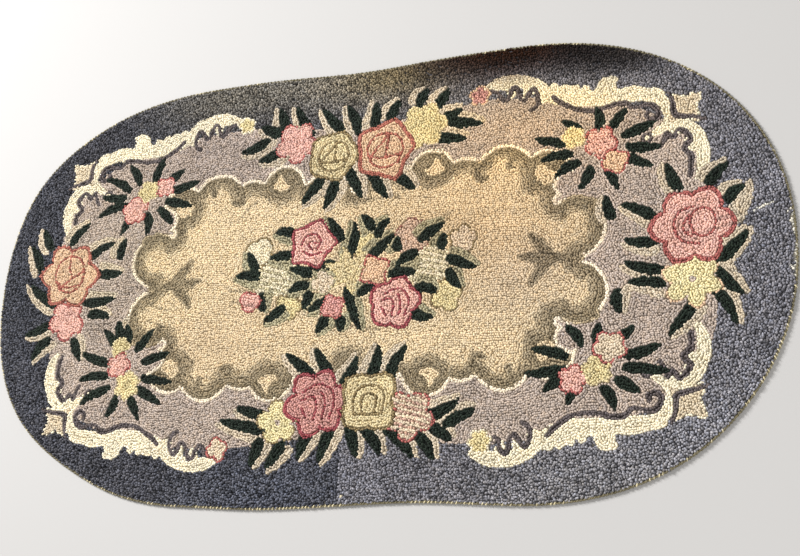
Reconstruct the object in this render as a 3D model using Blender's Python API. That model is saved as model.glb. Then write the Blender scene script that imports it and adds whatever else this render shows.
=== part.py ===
"""Hooked rug, lying flat: an oval field of yarn loops on a woven foundation, and the tape sewn round its edge.

Metres, +Z up. X runs along the rug's length, Y across its width, and Z = 0 is the surface it lies on.
The outline is an oval with nearly straight long sides and full, round ends, a little uneven as hand work is.
"""

import bmesh
import bpy
import numpy as np

# Outline
STRAIGHT_HALF_LENGTH = 0.310  # from the middle to where the round ends begin
END_REACH = 0.470  # length of each round end
HALF_WIDTH = 0.420
END_FULLNESS = 2.2  # exponent of the end curve: 2 is an ellipse, more is squarer
EDGE_STATIONS = 128

# Unevenness of the edge: share of the way round from the right end, how far out (+) or in (-), and how widely
UNEVEN = (
    {"where": 0.250, "out": -0.009, "spread": 0.035},
    {"where": 0.350, "out": -0.005, "spread": 0.040},
    {"where": 0.440, "out": 0.009, "spread": 0.030},
    {"where": 0.605, "out": -0.012, "spread": 0.035},
    {"where": 0.710, "out": 0.006, "spread": 0.030},
    {"where": 0.785, "out": -0.006, "spread": 0.030},
    {"where": 0.940, "out": -0.006, "spread": 0.040},
)

# Section through the edge
THICKNESS = 0.0075  # foundation and pile together
TAPE_THICKNESS = 0.0010
TAPE_WIDTH = 0.028
LIP_WIDTH = 0.0030  # rolled edge of the tape, outside the loops
LIP_HEIGHT = 0.0040
LIP_ROUND = 0.0008
GAP = 0.0003  # between the tape and the field
REBATE_SLOPE = 0.0030  # the foundation eases down from the tape to the floor over this length
PILE_ROUND = 0.0030  # the outer loops lean outwards, so the pile's top edge is rounded
PILE_SHOULDER = 0.0020

WOOL_COLOUR = (0.33, 0.27, 0.20, 1.0)
TAPE_COLOUR = (0.24, 0.21, 0.11, 1.0)


def clear_scene():
    """Remove every object of the open scene."""
    for obj in list(bpy.data.objects):
        bpy.data.objects.remove(obj, do_unlink=True)


def principled(name, colour, roughness, sheen):
    """A cloth material of one colour."""
    material = bpy.data.materials.new(name)
    material.use_nodes = True
    shader = material.node_tree.nodes["Principled BSDF"]
    shader.inputs["Base Color"].default_value = colour
    shader.inputs["Roughness"].default_value = roughness
    shader.inputs["Metallic"].default_value = 0.0
    shader.inputs["Sheen Weight"].default_value = sheen
    return material


def outline(stations):
    """Points of the rug's edge and their outward directions, evenly spaced and anticlockwise.

    Each round end is a superellipse, |x / END_REACH|^n + |y / HALF_WIDTH|^n = 1, moved out by the straight
    half length. Soft bumps along the outward direction then make it uneven, and the whole is centred.
    """
    angle = np.linspace(0.0, 2.0 * np.pi, 4096, endpoint=False)
    power = 2.0 / END_FULLNESS
    x = np.sign(np.cos(angle)) * (STRAIGHT_HALF_LENGTH + END_REACH * np.abs(np.cos(angle)) ** power)
    y = np.sign(np.sin(angle)) * HALF_WIDTH * np.abs(np.sin(angle)) ** power
    steps = np.hypot(np.roll(x, -1) - x, np.roll(y, -1) - y)
    walked = np.concatenate([[0.0], np.cumsum(steps)])
    share = np.arange(stations) / stations
    x = np.interp(share * walked[-1], walked, np.append(x, x[0]))
    y = np.interp(share * walked[-1], walked, np.append(y, y[0]))
    along = np.stack([np.roll(x, -1) - np.roll(x, 1), np.roll(y, -1) - np.roll(y, 1)], axis=1)
    along /= np.linalg.norm(along, axis=1)[:, None]
    outward = np.stack([along[:, 1], -along[:, 0]], axis=1)
    bump = np.zeros(stations)
    for soft in UNEVEN:
        away = (share - soft["where"] + 0.5) % 1.0 - 0.5
        bump += soft["out"] * np.exp(-((away / soft["spread"]) ** 2))
    points = np.stack([x, y], axis=1) + outward * bump[:, None]
    return points - (points.min(axis=0) + points.max(axis=0)) / 2.0, outward


def edge_loop(mesh, inset, height):
    """The outline moved in by the inset, at one height, as a ring of new corners."""
    points, outward = outline(EDGE_STATIONS)
    return [mesh.verts.new((px, py, height)) for px, py in points - outward * inset]


def bridge(mesh, first, second):
    """A band of four-sided faces between two rings of corners."""
    for a, b, c, d in zip(first, first[1:] + first[:1], second[1:] + second[:1], second):
        mesh.faces.new((a, b, c, d))


def swept(name, section, closed, material):
    """One object: the section's (inset, height) corners carried round the outline.

    A closed section makes a ring. An open one ends in a flat face at its first and at its last corner.
    """
    mesh = bmesh.new()
    rings = [edge_loop(mesh, inset, height) for inset, height in section]
    for first, second in zip(rings, rings[1:]):
        bridge(mesh, first, second)
    if closed:
        bridge(mesh, rings[-1], rings[0])
    else:
        mesh.faces.new(rings[0])
        mesh.faces.new(rings[-1])
    bmesh.ops.recalc_face_normals(mesh, faces=mesh.faces)
    data = bpy.data.meshes.new(name)
    mesh.to_mesh(data)
    mesh.free()
    data.shade_smooth()
    data.set_sharp_from_angle(angle=np.radians(30.0))
    data.materials.append(material)
    bpy.context.scene.collection.objects.link(bpy.data.objects.new(name, data))


def hooked_field():
    """The field: foundation and loops as one solid, cut back under its rim for the tape."""
    side = LIP_WIDTH + GAP
    rebate = TAPE_THICKNESS + GAP
    rebate_end = TAPE_WIDTH + GAP
    section = (
        (rebate_end + REBATE_SLOPE, 0.0),
        (rebate_end, rebate),
        (side, rebate),
        (side, THICKNESS - PILE_SHOULDER),
        (side + PILE_ROUND / 3.0, THICKNESS - PILE_SHOULDER / 3.0),
        (side + PILE_ROUND, THICKNESS),
    )
    swept("hooked_field", section, False, principled("wool_pile", WOOL_COLOUR, 0.95, 0.3))


def binding():
    """The tape: a flat leg under the rim and a rolled lip that stands round the outer loops."""
    section = (
        (LIP_ROUND, 0.0),
        (0.0, LIP_ROUND),
        (0.0, LIP_HEIGHT - LIP_ROUND),
        (LIP_ROUND, LIP_HEIGHT),
        (LIP_WIDTH - LIP_ROUND, LIP_HEIGHT),
        (LIP_WIDTH, LIP_HEIGHT - LIP_ROUND),
        (LIP_WIDTH, TAPE_THICKNESS),
        (TAPE_WIDTH, TAPE_THICKNESS),
        (TAPE_WIDTH, 0.0),
    )
    swept("binding", section, True, principled("binding_tape", TAPE_COLOUR, 0.9, 0.2))


clear_scene()
hooked_field()
binding()
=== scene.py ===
"""A hand-hooked oval rug lying flat: a woven foundation, the flower pattern drawn on it, the wool loops
hooked through it in rows that follow the pattern, and the tape whipped round the edge.

Metres. X runs along the rug's length, Y across it to the far side, and Z = 0 is the floor.
"""

import bpy
import numpy as np
from mathutils import Matrix, Vector


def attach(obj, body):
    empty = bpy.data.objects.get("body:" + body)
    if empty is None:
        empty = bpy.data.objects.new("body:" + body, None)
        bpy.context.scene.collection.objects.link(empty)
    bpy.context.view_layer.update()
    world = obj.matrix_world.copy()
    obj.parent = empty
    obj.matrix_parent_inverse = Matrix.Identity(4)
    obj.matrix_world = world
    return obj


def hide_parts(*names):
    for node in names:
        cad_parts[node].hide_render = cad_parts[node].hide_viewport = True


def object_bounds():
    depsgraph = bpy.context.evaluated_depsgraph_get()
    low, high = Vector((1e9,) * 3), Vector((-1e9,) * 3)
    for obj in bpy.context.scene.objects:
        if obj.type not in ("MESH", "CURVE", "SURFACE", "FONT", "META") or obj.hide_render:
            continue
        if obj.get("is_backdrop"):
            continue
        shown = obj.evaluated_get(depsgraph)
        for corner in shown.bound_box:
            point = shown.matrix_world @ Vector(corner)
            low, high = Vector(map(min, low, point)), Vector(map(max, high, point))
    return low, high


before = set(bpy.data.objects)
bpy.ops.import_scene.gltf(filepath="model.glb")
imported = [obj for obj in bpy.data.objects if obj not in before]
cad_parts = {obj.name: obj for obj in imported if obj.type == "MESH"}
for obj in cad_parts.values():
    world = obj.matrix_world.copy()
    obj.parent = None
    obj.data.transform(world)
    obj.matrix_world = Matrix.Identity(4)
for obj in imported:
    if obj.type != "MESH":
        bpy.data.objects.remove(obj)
cad_low, cad_high = (list(corner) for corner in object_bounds())

# ---------------------------------------------------------------------------------------------------------
# The view: a camera above the near long side, to the right of the middle, looking steeply down on the rug.
# It is turned a little, so the rug's near left end hangs lower in the frame.

CAMERA_PLACE = Vector((0.815, -0.618, 1.903))
CAMERA_LOOK = Vector((-0.3395, 0.2873, -0.8956))
CAMERA_UP = Vector((0.0667, 0.9572, 0.2818))
CAMERA_LENS = 52.7

look = CAMERA_LOOK.normalized()
right = look.cross(CAMERA_UP).normalized()
camera = bpy.data.objects.new("camera", bpy.data.cameras.new("camera"))
camera.data.lens = CAMERA_LENS
camera.data.sensor_width = 36.0
camera.matrix_world = Matrix((right, right.cross(look), -look)).transposed().to_4x4()
camera.matrix_world.translation = CAMERA_PLACE
bpy.context.scene.collection.objects.link(camera)
bpy.context.scene.camera = camera


# ---------------------------------------------------------------------------------------------------------
# The room: a plain pale floor, one large soft light high at the far left that shows the relief of the
# loops, a weaker one at the near right, and a dim even sky.

FLOOR_COLOUR = (0.40, 0.39, 0.38, 1.0)
KEY_PLACE = Vector((-4.6, 3.0, 3.8))
KEY_SIZE = 2.2
KEY_WATTS = 900.0
FILL_PLACE = Vector((2.2, -1.8, 2.8))
FILL_SIZE = 2.4
FILL_WATTS = 75.0
SKY_COLOUR = (1.0, 0.99, 0.97, 1.0)
SKY_STRENGTH = 0.40
FLOOR_HALF = 30.0
FLOOR_ROUGHNESS = 0.7


def studio_light(name, place, size, watts):
    """A square lamp at a place, turned to the middle of the rug."""
    lamp = bpy.data.lights.new(name, "AREA")
    lamp.size = size
    lamp.energy = watts
    holder = bpy.data.objects.new(name, lamp)
    holder.matrix_world = (-place).to_track_quat("-Z", "Y").to_matrix().to_4x4()
    holder.matrix_world.translation = place
    bpy.context.scene.collection.objects.link(holder)


studio_light("key_light", KEY_PLACE, KEY_SIZE, KEY_WATTS)
studio_light("fill_light", FILL_PLACE, FILL_SIZE, FILL_WATTS)

sky = bpy.data.worlds.new("even_sky")
sky.use_nodes = True
glow = sky.node_tree.nodes["Background"].inputs
glow["Color"].default_value = SKY_COLOUR
glow["Strength"].default_value = SKY_STRENGTH
bpy.context.scene.world = sky
bpy.context.scene.view_settings.view_transform = "Standard"

floor_mesh = bpy.data.meshes.new("floor")
floor_corners = [(-1, -1), (1, -1), (1, 1), (-1, 1)]
floor_mesh.from_pydata([(FLOOR_HALF * x, FLOOR_HALF * y, 0.0) for x, y in floor_corners], [], [(0, 1, 2, 3)])
floor = bpy.data.objects.new("floor", floor_mesh)
floor_finish = bpy.data.materials.new("pale_floor")
floor_finish.use_nodes = True
paving = floor_finish.node_tree.nodes["Principled BSDF"].inputs
paving["Base Color"].default_value = FLOOR_COLOUR
paving["Roughness"].default_value = FLOOR_ROUGHNESS
floor_mesh.materials.append(floor_finish)
bpy.context.scene.collection.objects.link(floor)
floor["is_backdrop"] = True

# ---------------------------------------------------------------------------------------------------------
# The foundation: one piece of burlap cut to the rug's oval, its edge a little uneven as hand work is. The
# maker draws the whole pattern on it first, so its grid of cells, one for each millimetre, holds the pattern.

STRAIGHT_HALF_LENGTH = 0.310
END_REACH = 0.470
HALF_WIDTH = 0.420
END_FULLNESS = 2.2
# the edge's soft bumps: the share of the way round, how far out, and how wide a share
UNEVEN = (
    (0.250, -0.009, 0.035), (0.350, -0.005, 0.040), (0.440, 0.009, 0.030), (0.605, -0.012, 0.035),
    (0.710, 0.006, 0.030), (0.785, -0.006, 0.030), (0.940, -0.006, 0.040),
)
CELL = 0.001
GRID_SPARE = 0.004
TAPE_LIP = 0.0033
PATTERN_RISE = 0.003  # the pattern's middle lies this far up from the cloth's
HAND_WANDER = 0.0016
WANDER_SIZE = 0.035
EDGE_STATIONS = 720  # places round the edge where the oval is known
NOISE_KNOTS = 128
NOISE_START = (1000.37, 1000.61)  # knots from the net's corner to the rug's middle, so that none is negative


def rug_edge(stations):
    """Points of the oval and their outward directions, evenly spaced. Each end is a superellipse,
    |x / END_REACH|^n + |y / HALF_WIDTH|^n = 1, moved out by the straight half length, and soft bumps
    along the outward direction make it uneven."""
    angle = np.linspace(0.0, 2.0 * np.pi, 4096, endpoint=False)
    power = 2.0 / END_FULLNESS
    x = np.sign(np.cos(angle)) * (STRAIGHT_HALF_LENGTH + END_REACH * np.abs(np.cos(angle)) ** power)
    y = np.sign(np.sin(angle)) * HALF_WIDTH * np.abs(np.sin(angle)) ** power
    walked = np.concatenate([[0.0], np.cumsum(np.hypot(np.roll(x, -1) - x, np.roll(y, -1) - y))])
    share = np.arange(stations) / stations
    x = np.interp(share * walked[-1], walked, np.append(x, x[0]))
    y = np.interp(share * walked[-1], walked, np.append(y, y[0]))
    along = np.stack([np.roll(x, -1) - np.roll(x, 1), np.roll(y, -1) - np.roll(y, 1)], axis=1)
    along /= np.linalg.norm(along, axis=1)[:, None]
    outward = np.stack([along[:, 1], -along[:, 0]], axis=1)
    where, out, spread = (np.array(column) for column in zip(*UNEVEN))
    away = (share[:, None] - where + 0.5) % 1.0 - 0.5
    bump = np.exp(-((away / spread) ** 2)) @ out
    points = np.stack([x, y], axis=1) + outward * bump[:, None]
    return points - (points.min(axis=0) + points.max(axis=0)) / 2.0, outward


def read_round(points, values, direction):
    """Reads values that are known at points round the middle in any other direction, in straight lines from
    one point's angle to the next."""
    angle = np.arctan2(points[:, 1], points[:, 0])
    order = np.argsort(angle)
    turn = np.concatenate([angle[order] - 2 * np.pi, angle[order], angle[order] + 2 * np.pi])
    return np.interp(direction, turn, np.tile(values[order], 3))


def inside_edge(x, y):
    """How far inside the oval each point lies: the edge's reach in the point's direction, less the
    point's own, measured square to the edge."""
    points, outward = rug_edge(EDGE_STATIONS)
    reach = np.hypot(*points.T)
    lean = np.sum(points * outward, axis=1) / reach
    direction = np.arctan2(y, x)
    return (read_round(points, reach, direction) - np.hypot(x, y)) * read_round(points, lean, direction)


def drift(x, y, size, seed):
    """Soft noise from -1 to 1: random values on a square net of this mesh size, eased between its knots."""
    net = np.random.default_rng(seed).uniform(-1.0, 1.0, (NOISE_KNOTS, NOISE_KNOTS))
    u = x / size + NOISE_START[0]
    v = y / size + NOISE_START[1]
    i = np.floor(u).astype(int)
    j = np.floor(v).astype(int)
    ease_u = (u - i) * (u - i) * (3.0 - 2.0 * (u - i))
    ease_v = (v - j) * (v - j) * (3.0 - 2.0 * (v - j))
    left, right = i % NOISE_KNOTS, (i + 1) % NOISE_KNOTS
    near, far = j % NOISE_KNOTS, (j + 1) % NOISE_KNOTS
    near_row = net[near, left] * (1.0 - ease_u) + net[near, right] * ease_u
    far_row = net[far, left] * (1.0 - ease_u) + net[far, right] * ease_u
    return near_row * (1.0 - ease_v) + far_row * ease_v


grid_x = np.arange(cad_low[0] - GRID_SPARE, cad_high[0] + GRID_SPARE, CELL)
grid_y = np.arange(cad_low[1] - GRID_SPARE, cad_high[1] + GRID_SPARE, CELL)
cell_x, cell_y = np.meshgrid(grid_x, grid_y)
cloth = inside_edge(cell_x, cell_y) > TAPE_LIP
drawn_x = cell_x + HAND_WANDER * drift(cell_x, cell_y, WANDER_SIZE, 11)
drawn_y = cell_y - PATTERN_RISE + HAND_WANDER * drift(cell_x, cell_y, WANDER_SIZE, 12)
pattern = np.zeros(cloth.shape, np.uint8)
# each skein's piece, colour, heather and mottle, by its number: 0 is bare cloth
yarns = [("none", (0, 0, 0), 0.0, 0.0)]


def yarn(piece, colour, heather, mottle):
    """Adds a skein of yarn: the piece its loops go to, its colour in 8-bit sRGB, how much it differs from
    loop to loop, and how much over a hand's breadth. Returns its number."""
    yarns.append((piece, colour, heather, mottle))
    return len(yarns) - 1


def patch(low_x, low_y, high_x, high_y):
    """The rows and columns of the grid that hold a rectangle, with room for the hand's wander."""
    spans = []
    for low, high, start in ((low_y, high_y, grid_y[0] - PATTERN_RISE), (low_x, high_x, grid_x[0])):
        first = max(int((low - 2.0 * HAND_WANDER - start) / CELL), 0)
        spans.append(slice(first, int((high + 2.0 * HAND_WANDER - start) / CELL) + 2))
    return tuple(spans)


def around(centre, reach):
    """A square patch about a centre, and its cells' places from that centre."""
    x, y = centre
    where = patch(x - reach, y - reach, x + reach, y + reach)
    return where, drawn_x[where] - x, drawn_y[where] - y


def soft_path(steps, between):
    """A smooth curve through the given steps, by Catmull-Rom: at each step it runs along the line between
    its two neighbours. Columns after x and y, such as a width, are eased in the same way."""
    steps = np.array(steps, float)
    steps = np.vstack([2 * steps[0] - steps[1], steps, 2 * steps[-1] - steps[-2]])
    a, b, c, d = (steps[k:len(steps) - 3 + k, None] for k in range(4))
    t = np.linspace(0.0, 1.0, between, endpoint=False)[None, :, None]
    curve = b + 0.5 * t * (c - a + t * (2 * a - 5 * b + 4 * c - d + t * (3 * b - a - 3 * c + d)))
    return np.vstack([curve.reshape(-1, steps.shape[1]), steps[-2]])


def along_path(steps, between, flip, shift=(0.0, 0.0), spread=1.0):
    """Walks a soft path of x, y, half width. For each short piece of it: the patch of the grid about it as
    wide as the spread, each cell's distance from it, and its half width beside the cell. The flip mirrors the
    path to another quarter of the rug, and the shift moves it."""
    path = soft_path(steps, between)
    path[:, :2] = path[:, :2] * flip + shift
    for (ax, ay, aw), (bx, by, bw) in zip(path[:-1], path[1:]):
        wide = spread * max(aw, bw)
        where = patch(min(ax, bx) - wide, min(ay, by) - wide, max(ax, bx) + wide, max(ay, by) + wide)
        x = drawn_x[where] - ax
        y = drawn_y[where] - ay
        dx = bx - ax
        dy = by - ay
        walked = np.clip((x * dx + y * dy) / (dx**2 + dy**2 + 1e-12), 0, 1)
        yield where, np.hypot(x - walked * dx, y - walked * dy), aw + walked * (bw - aw)


def stroke(colour, steps, flip=(1, 1), shift=(0.0, 0.0)):
    """Lays a yarn along a soft path: each cell nearer to the path than its half width."""
    for where, gap, half in along_path(steps, 8, flip, shift):
        pattern[where][gap < half] = colour


def blob(colour, centre, half, turn=0.0, flip=(1, 1), shift=(0.0, 0.0)):
    """Lays a yarn over an ellipse of these half lengths, turned by an angle."""
    where, x, y = around((centre[0] * flip[0] + shift[0], centre[1] * flip[1] + shift[1]), max(half))
    turn = turn * flip[0] * flip[1]
    u = x * np.cos(turn) + y * np.sin(turn)
    v = y * np.cos(turn) - x * np.sin(turn)
    pattern[where][(u / half[0]) ** 2 + (v / half[1]) ** 2 < 1.0] = colour


# ---------------------------------------------------------------------------------------------------------
# The border: slate wool from two dye lots. The near left skeins are bluer and darker, the right ones greyer,
# and they meet in a plain seam across the near long side. Painted shadow darkens the far edge to brown.

BORDER_WEST = yarn("border_west", (81, 81, 87), heather=0.42, mottle=0.14)
BORDER_EAST = yarn("border_east", (119, 117, 122), heather=0.34, mottle=0.14)
DYE_SEAM = -0.006
SEAM_WANDER = 0.003

pattern[:] = BORDER_WEST
pattern[cell_x > DYE_SEAM + SEAM_WANDER * drift(cell_x, cell_y, 0.02, 21)] = BORDER_EAST


# ---------------------------------------------------------------------------------------------------------
# The ground between the border and the inner frame: faded mauve wool, an oval with squared corners.

MAUVE = yarn("ground", (178, 162, 149), heather=0.10, mottle=0.09)
GROUND_HALF = (0.652, 0.322)
GROUND_SQUARENESS = 3.6
GROUND_WAIST = 0.028
WAIST_SPREAD = 0.16

half_deep = GROUND_HALF[1] - GROUND_WAIST * np.exp(-((drawn_x / WAIST_SPREAD) ** 2))
across = np.abs(drawn_x / GROUND_HALF[0]) ** GROUND_SQUARENESS
up = np.abs(drawn_y / half_deep) ** GROUND_SQUARENESS
pattern[across + up < 1.0] = MAUVE


# ---------------------------------------------------------------------------------------------------------
# The inner frame and the cream centre: taupe scrolls inside a line of pale wool. Each end has two large C
# scrolls that meet at a waist, with a leaf that points inwards between them, and the others end in a ball
# inside a cream hollow. The taupe is darkest along the pale line and is hooked loop by loop into the cream.

CREAM = yarn("centre_field", (215, 194, 159), heather=0.05, mottle=0.05)
PALE_LINE = yarn("scroll_frame", (229, 214, 190), heather=0.05, mottle=0.04)
TAUPE = yarn("scroll_frame", (152, 136, 109), heather=0.07, mottle=0.08)
# share across the shading, and the wool's colour there
TAUPE_SHADES = (
    (0.00, (136, 122, 97)), (0.45, (149, 134, 108)), (0.80, (172, 155, 126)), (1.10, (198, 179, 146)),
)
FRAME_LINE = 0.0068
SHADE_DEPTH = 0.0245
SHADE_ENDS = 1.1
SHADE_MIDDLE = 0.18
UNSHADED = 9.0
# centre x, y and radius of the rounds whose union is one quarter of the centre
FRAME_ROUNDS = (
    (0.416, 0.058, 0.058), (0.366, 0.160, 0.050), (0.290, 0.172, 0.056), (0.215, 0.165, 0.045),
    (0.150, 0.185, 0.048), (0.060, 0.150, 0.060), (0.398, 0.000, 0.026),
)
FRAME_CORE = (0.385, 0.165)
# steps of x, y, half width
INWARD_LEAF = (
    ((0.424, 0.002, 0.009), (0.396, 0.004, 0.010), (0.366, 0.006, 0.014), (0.340, 0.006, 0.011),
     (0.318, 0.010, 0.004)),
    ((0.374, 0.012, 0.011), (0.354, 0.030, 0.012), (0.338, 0.050, 0.005)),
    ((0.372, 0.000, 0.011), (0.350, -0.020, 0.012), (0.336, -0.042, 0.005)),
)
SIDE_CURL = ((0.262, 0.196, 0.008), (0.240, 0.186, 0.010), (0.240, 0.166, 0.009), (0.256, 0.166, 0.006))
SIDE_TOOTH = ((0.306, 0.206, 0.008), (0.300, 0.184, 0.007))
END_CURL = ((0.446, 0.100, 0.012), (0.420, 0.106, 0.012), (0.398, 0.094, 0.012), (0.396, 0.080, 0.010))
# centre x, y, radius and jaggedness of the bay that the ground makes into each corner, and of the cream
# hollow and the ball at the end of each scroll: first the one beside the roses, then the one in the corner
CORNER_BAY = (0.408, 0.140, 0.022, 0.14)
SCROLL_HOLLOWS = ((0.153, 0.197, 0.0185, 0.34), (0.364, 0.161, 0.0185, 0.34))
SCROLL_BALLS = ((0.140, 0.209, 0.0152, 0.14), (0.379, 0.181, 0.0150, 0.14))
QUARTERS = ((1, 1), (-1, 1), (-1, -1), (1, -1))


def line_distance(shapes):
    """Each cell's distance from the nearest drawn line, in metres, by jump flooding: every cell keeps the
    nearest line point that it or any cell a stride away knows, while the stride halves."""
    rows, cols = shapes.shape
    here_y, here_x = np.indices(shapes.shape, dtype=np.float32)
    line_x, line_y = np.full((2, rows, cols), 1e5, np.float32)
    r, c = np.nonzero(shapes[:, 1:] != shapes[:, :-1])
    line_x[r, c] = line_x[r, c + 1] = c + 0.5
    line_y[r, c] = line_y[r, c + 1] = r
    r, c = np.nonzero(shapes[1:] != shapes[:-1])
    line_x[r, c] = line_x[r + 1, c] = c
    line_y[r, c] = line_y[r + 1, c] = r + 0.5
    best = (here_x - line_x) ** 2 + (here_y - line_y) ** 2
    for stride in (128, 64, 32, 16, 8, 4, 2, 1, 1):
        for dy, dx in ((-1, -1), (-1, 0), (-1, 1), (0, -1), (0, 1), (1, -1), (1, 0), (1, 1)):
            dy, dx = dy * stride, dx * stride
            here = (slice(max(dy, 0), rows + min(dy, 0)), slice(max(dx, 0), cols + min(dx, 0)))
            there = (slice(max(-dy, 0), rows + min(-dy, 0)), slice(max(-dx, 0), cols + min(-dx, 0)))
            far = (here_x[here] - line_x[there]) ** 2 + (here_y[here] - line_y[there]) ** 2
            nearer = far < best[here]
            best[here][nearer] = far[nearer]
            line_x[here][nearer] = line_x[there][nearer]
            line_y[here][nearer] = line_y[there][nearer]
    return np.sqrt(best) * CELL


def inside_round(circle):
    """How far inside a jagged round each cell lies, the same in all four quarters."""
    gap = np.hypot(np.abs(drawn_x) - circle[0], np.abs(drawn_y) - circle[1])
    return circle[2] * (1.0 + circle[3] * drift(np.abs(drawn_x), np.abs(drawn_y), 0.009, 30)) - gap


def centre_reach():
    """How far inside the centre each cell lies: the largest of the reaches of a rounded rectangle and of
    the scrolls' rounds, which are the same in all four quarters, less the corner bays."""
    x = np.abs(drawn_x)
    y = np.abs(drawn_y)
    reach = np.minimum(FRAME_CORE[0] - x, FRAME_CORE[1] - y)
    for round_x, round_y, radius in FRAME_ROUNDS:
        reach = np.maximum(reach, radius - np.hypot(x - round_x, y - round_y))
    return np.minimum(reach, -inside_round(CORNER_BAY))


shade_share = np.full(pattern.shape, UNSHADED)


def shaded(where, share):
    """Lays taupe where the share across the shading, 0 at its dark side and 1 where it ends, is small enough,
    and notes the share for the dye. Noise as coarse as two loops and as one moves each cell a little."""
    x, y = drawn_x[where], drawn_y[where]
    share = share + 0.15 * drift(x, y, 0.011, 22) + 0.13 * drift(x, y, 0.005, 23)
    pattern[where][share < SHADE_ENDS] = TAUPE
    shade_share[where] = np.minimum(shade_share[where], share)


reach = centre_reach()
pattern[reach > 0.0] = PALE_LINE
past_line = (reach > 0.0) & (line_distance(reach > 0.0) > FRAME_LINE)
hollow = np.zeros(pattern.shape, bool)
for hollow_round, ball_round in zip(SCROLL_HOLLOWS, SCROLL_BALLS):
    hollow |= past_line & (inside_round(hollow_round) > 0.0) & (inside_round(ball_round) < 0.0)
past_line &= ~hollow
pattern[past_line] = CREAM
from_pale = np.where(past_line, line_distance(past_line), UNSHADED)
shade_depth = SHADE_DEPTH * (1.0 + 0.25 * drift(drawn_x, drawn_y, 0.06, 26))
shaded((slice(None), slice(None)), from_pale / shade_depth)
pattern[hollow] = CREAM
curls = [(scroll, quarter) for quarter in QUARTERS for scroll in (SIDE_CURL, SIDE_TOOTH, END_CURL)]
for steps, flip in curls + [(blade, (side, 1)) for side in (1, -1) for blade in INWARD_LEAF]:
    for where, gap, half in along_path(steps, 4, flip, spread=1.4):
        shaded(where, SHADE_MIDDLE + 0.90 * (gap / half) ** 1.5)


# ---------------------------------------------------------------------------------------------------------
# The corner brackets: a broad band of cream wool that runs from a small bud near the middle of each long
# side, dips in at the corner, where it throws a horn inwards, and runs down the end. A dark thread waves
# along its inner side, leaf bumps stand on its outer side, and a square leaf with a vein sits in the dip.

BRACKET = yarn("brackets", (228, 217, 190), heather=0.05, mottle=0.05)
THREAD = yarn("brackets", (94, 85, 84), heather=0.16, mottle=0.08)
CORNER_BEIGE = yarn("brackets", (205, 189, 162), heather=0.07, mottle=0.05)
# steps of x, y, half width, for the far right quarter
BRACKET_BAND = (
    (0.252, 0.334, 0.009), (0.278, 0.343, 0.013), (0.310, 0.344, 0.014), (0.342, 0.334, 0.014),
    (0.366, 0.314, 0.013), (0.392, 0.300, 0.013), (0.425, 0.293, 0.014), (0.465, 0.292, 0.015),
    (0.508, 0.291, 0.014), (0.538, 0.290, 0.013), (0.562, 0.283, 0.012), (0.576, 0.268, 0.010),
    (0.581, 0.250, 0.008), (0.586, 0.236, 0.009), (0.604, 0.226, 0.011), (0.624, 0.208, 0.013),
    (0.636, 0.180, 0.013), (0.638, 0.156, 0.011), (0.634, 0.138, 0.008), (0.626, 0.124, 0.005),
)
BRACKET_HORN = ((0.586, 0.236, 0.010), (0.574, 0.224, 0.009), (0.562, 0.216, 0.007), (0.552, 0.211, 0.005))
# centre x, y, half lengths and turn of the bumps on the band's outer side and the lobes on its inner side
BRACKET_BUMPS = (
    (0.404, 0.313, 0.021, 0.012, -0.35), (0.438, 0.301, 0.020, 0.011, -0.45),
    (0.481, 0.311, 0.012, 0.019, 0.3), (0.462, 0.300, 0.012, 0.013, 0.0),
    (0.522, 0.298, 0.026, 0.010, -0.1), (0.560, 0.291, 0.018, 0.009, -0.25),
)
BRACKET_LOBES = (
    (0.300, 0.326, 0.010, 0.013, 0.1), (0.330, 0.320, 0.009, 0.013, 0.0),
    (0.356, 0.304, 0.011, 0.010, -0.5), (0.594, 0.218, 0.018, 0.010, -0.2),
    (0.616, 0.190, 0.010, 0.018, 0.1),
)
THREAD_WAVE = (
    (0.262, 0.330, 0.004), (0.276, 0.324, 0.004), (0.284, 0.310, 0.004), (0.294, 0.312, 0.004),
    (0.300, 0.330, 0.004), (0.310, 0.333, 0.004), (0.316, 0.314, 0.004), (0.325, 0.304, 0.004),
    (0.334, 0.318, 0.004), (0.343, 0.325, 0.004), (0.351, 0.308, 0.004), (0.348, 0.290, 0.004),
    (0.336, 0.283, 0.004),
)
THREAD_RUN = (
    (0.378, 0.306, 0.004), (0.394, 0.291, 0.005), (0.424, 0.274, 0.004), (0.455, 0.269, 0.004),
    (0.486, 0.276, 0.005), (0.508, 0.277, 0.005), (0.520, 0.266, 0.004), (0.534, 0.267, 0.004),
    (0.550, 0.269, 0.005), (0.562, 0.261, 0.005), (0.567, 0.248, 0.005), (0.558, 0.239, 0.005),
    (0.546, 0.244, 0.004), (0.548, 0.253, 0.004),
)
THREAD_END = (
    (0.566, 0.188, 0.004), (0.574, 0.202, 0.004), (0.577, 0.214, 0.004), (0.587, 0.203, 0.004),
    (0.597, 0.216, 0.004), (0.610, 0.208, 0.005), (0.616, 0.195, 0.005), (0.605, 0.181, 0.005),
    (0.617, 0.166, 0.005), (0.618, 0.146, 0.005), (0.614, 0.128, 0.004),
)
HORN_RING = (0.544, 0.206)
RING_OUTER = (0.0100, 0.0100)
RING_INNER = (0.0050, 0.0050)
CORNER_LEAF = (0.609, 0.256)
CORNER_LEAF_REACH = 0.041
CORNER_LEAF_NOTCH = 0.46
CORNER_LEAF_TURN = 0.72
CORNER_LEAF_EDGE = 0.0036
CORNER_VEIN = (
    (0.643, 0.230, 0.003), (0.622, 0.237, 0.004), (0.604, 0.240, 0.005), (0.593, 0.244, 0.005),
    (0.591, 0.258, 0.005), (0.590, 0.270, 0.004), (0.584, 0.288, 0.003),
)
BRACKET_HOOK = ((0.474, 0.298, 0.012), (0.469, 0.312, 0.012), (0.474, 0.322, 0.011), (0.488, 0.324, 0.008))
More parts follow.
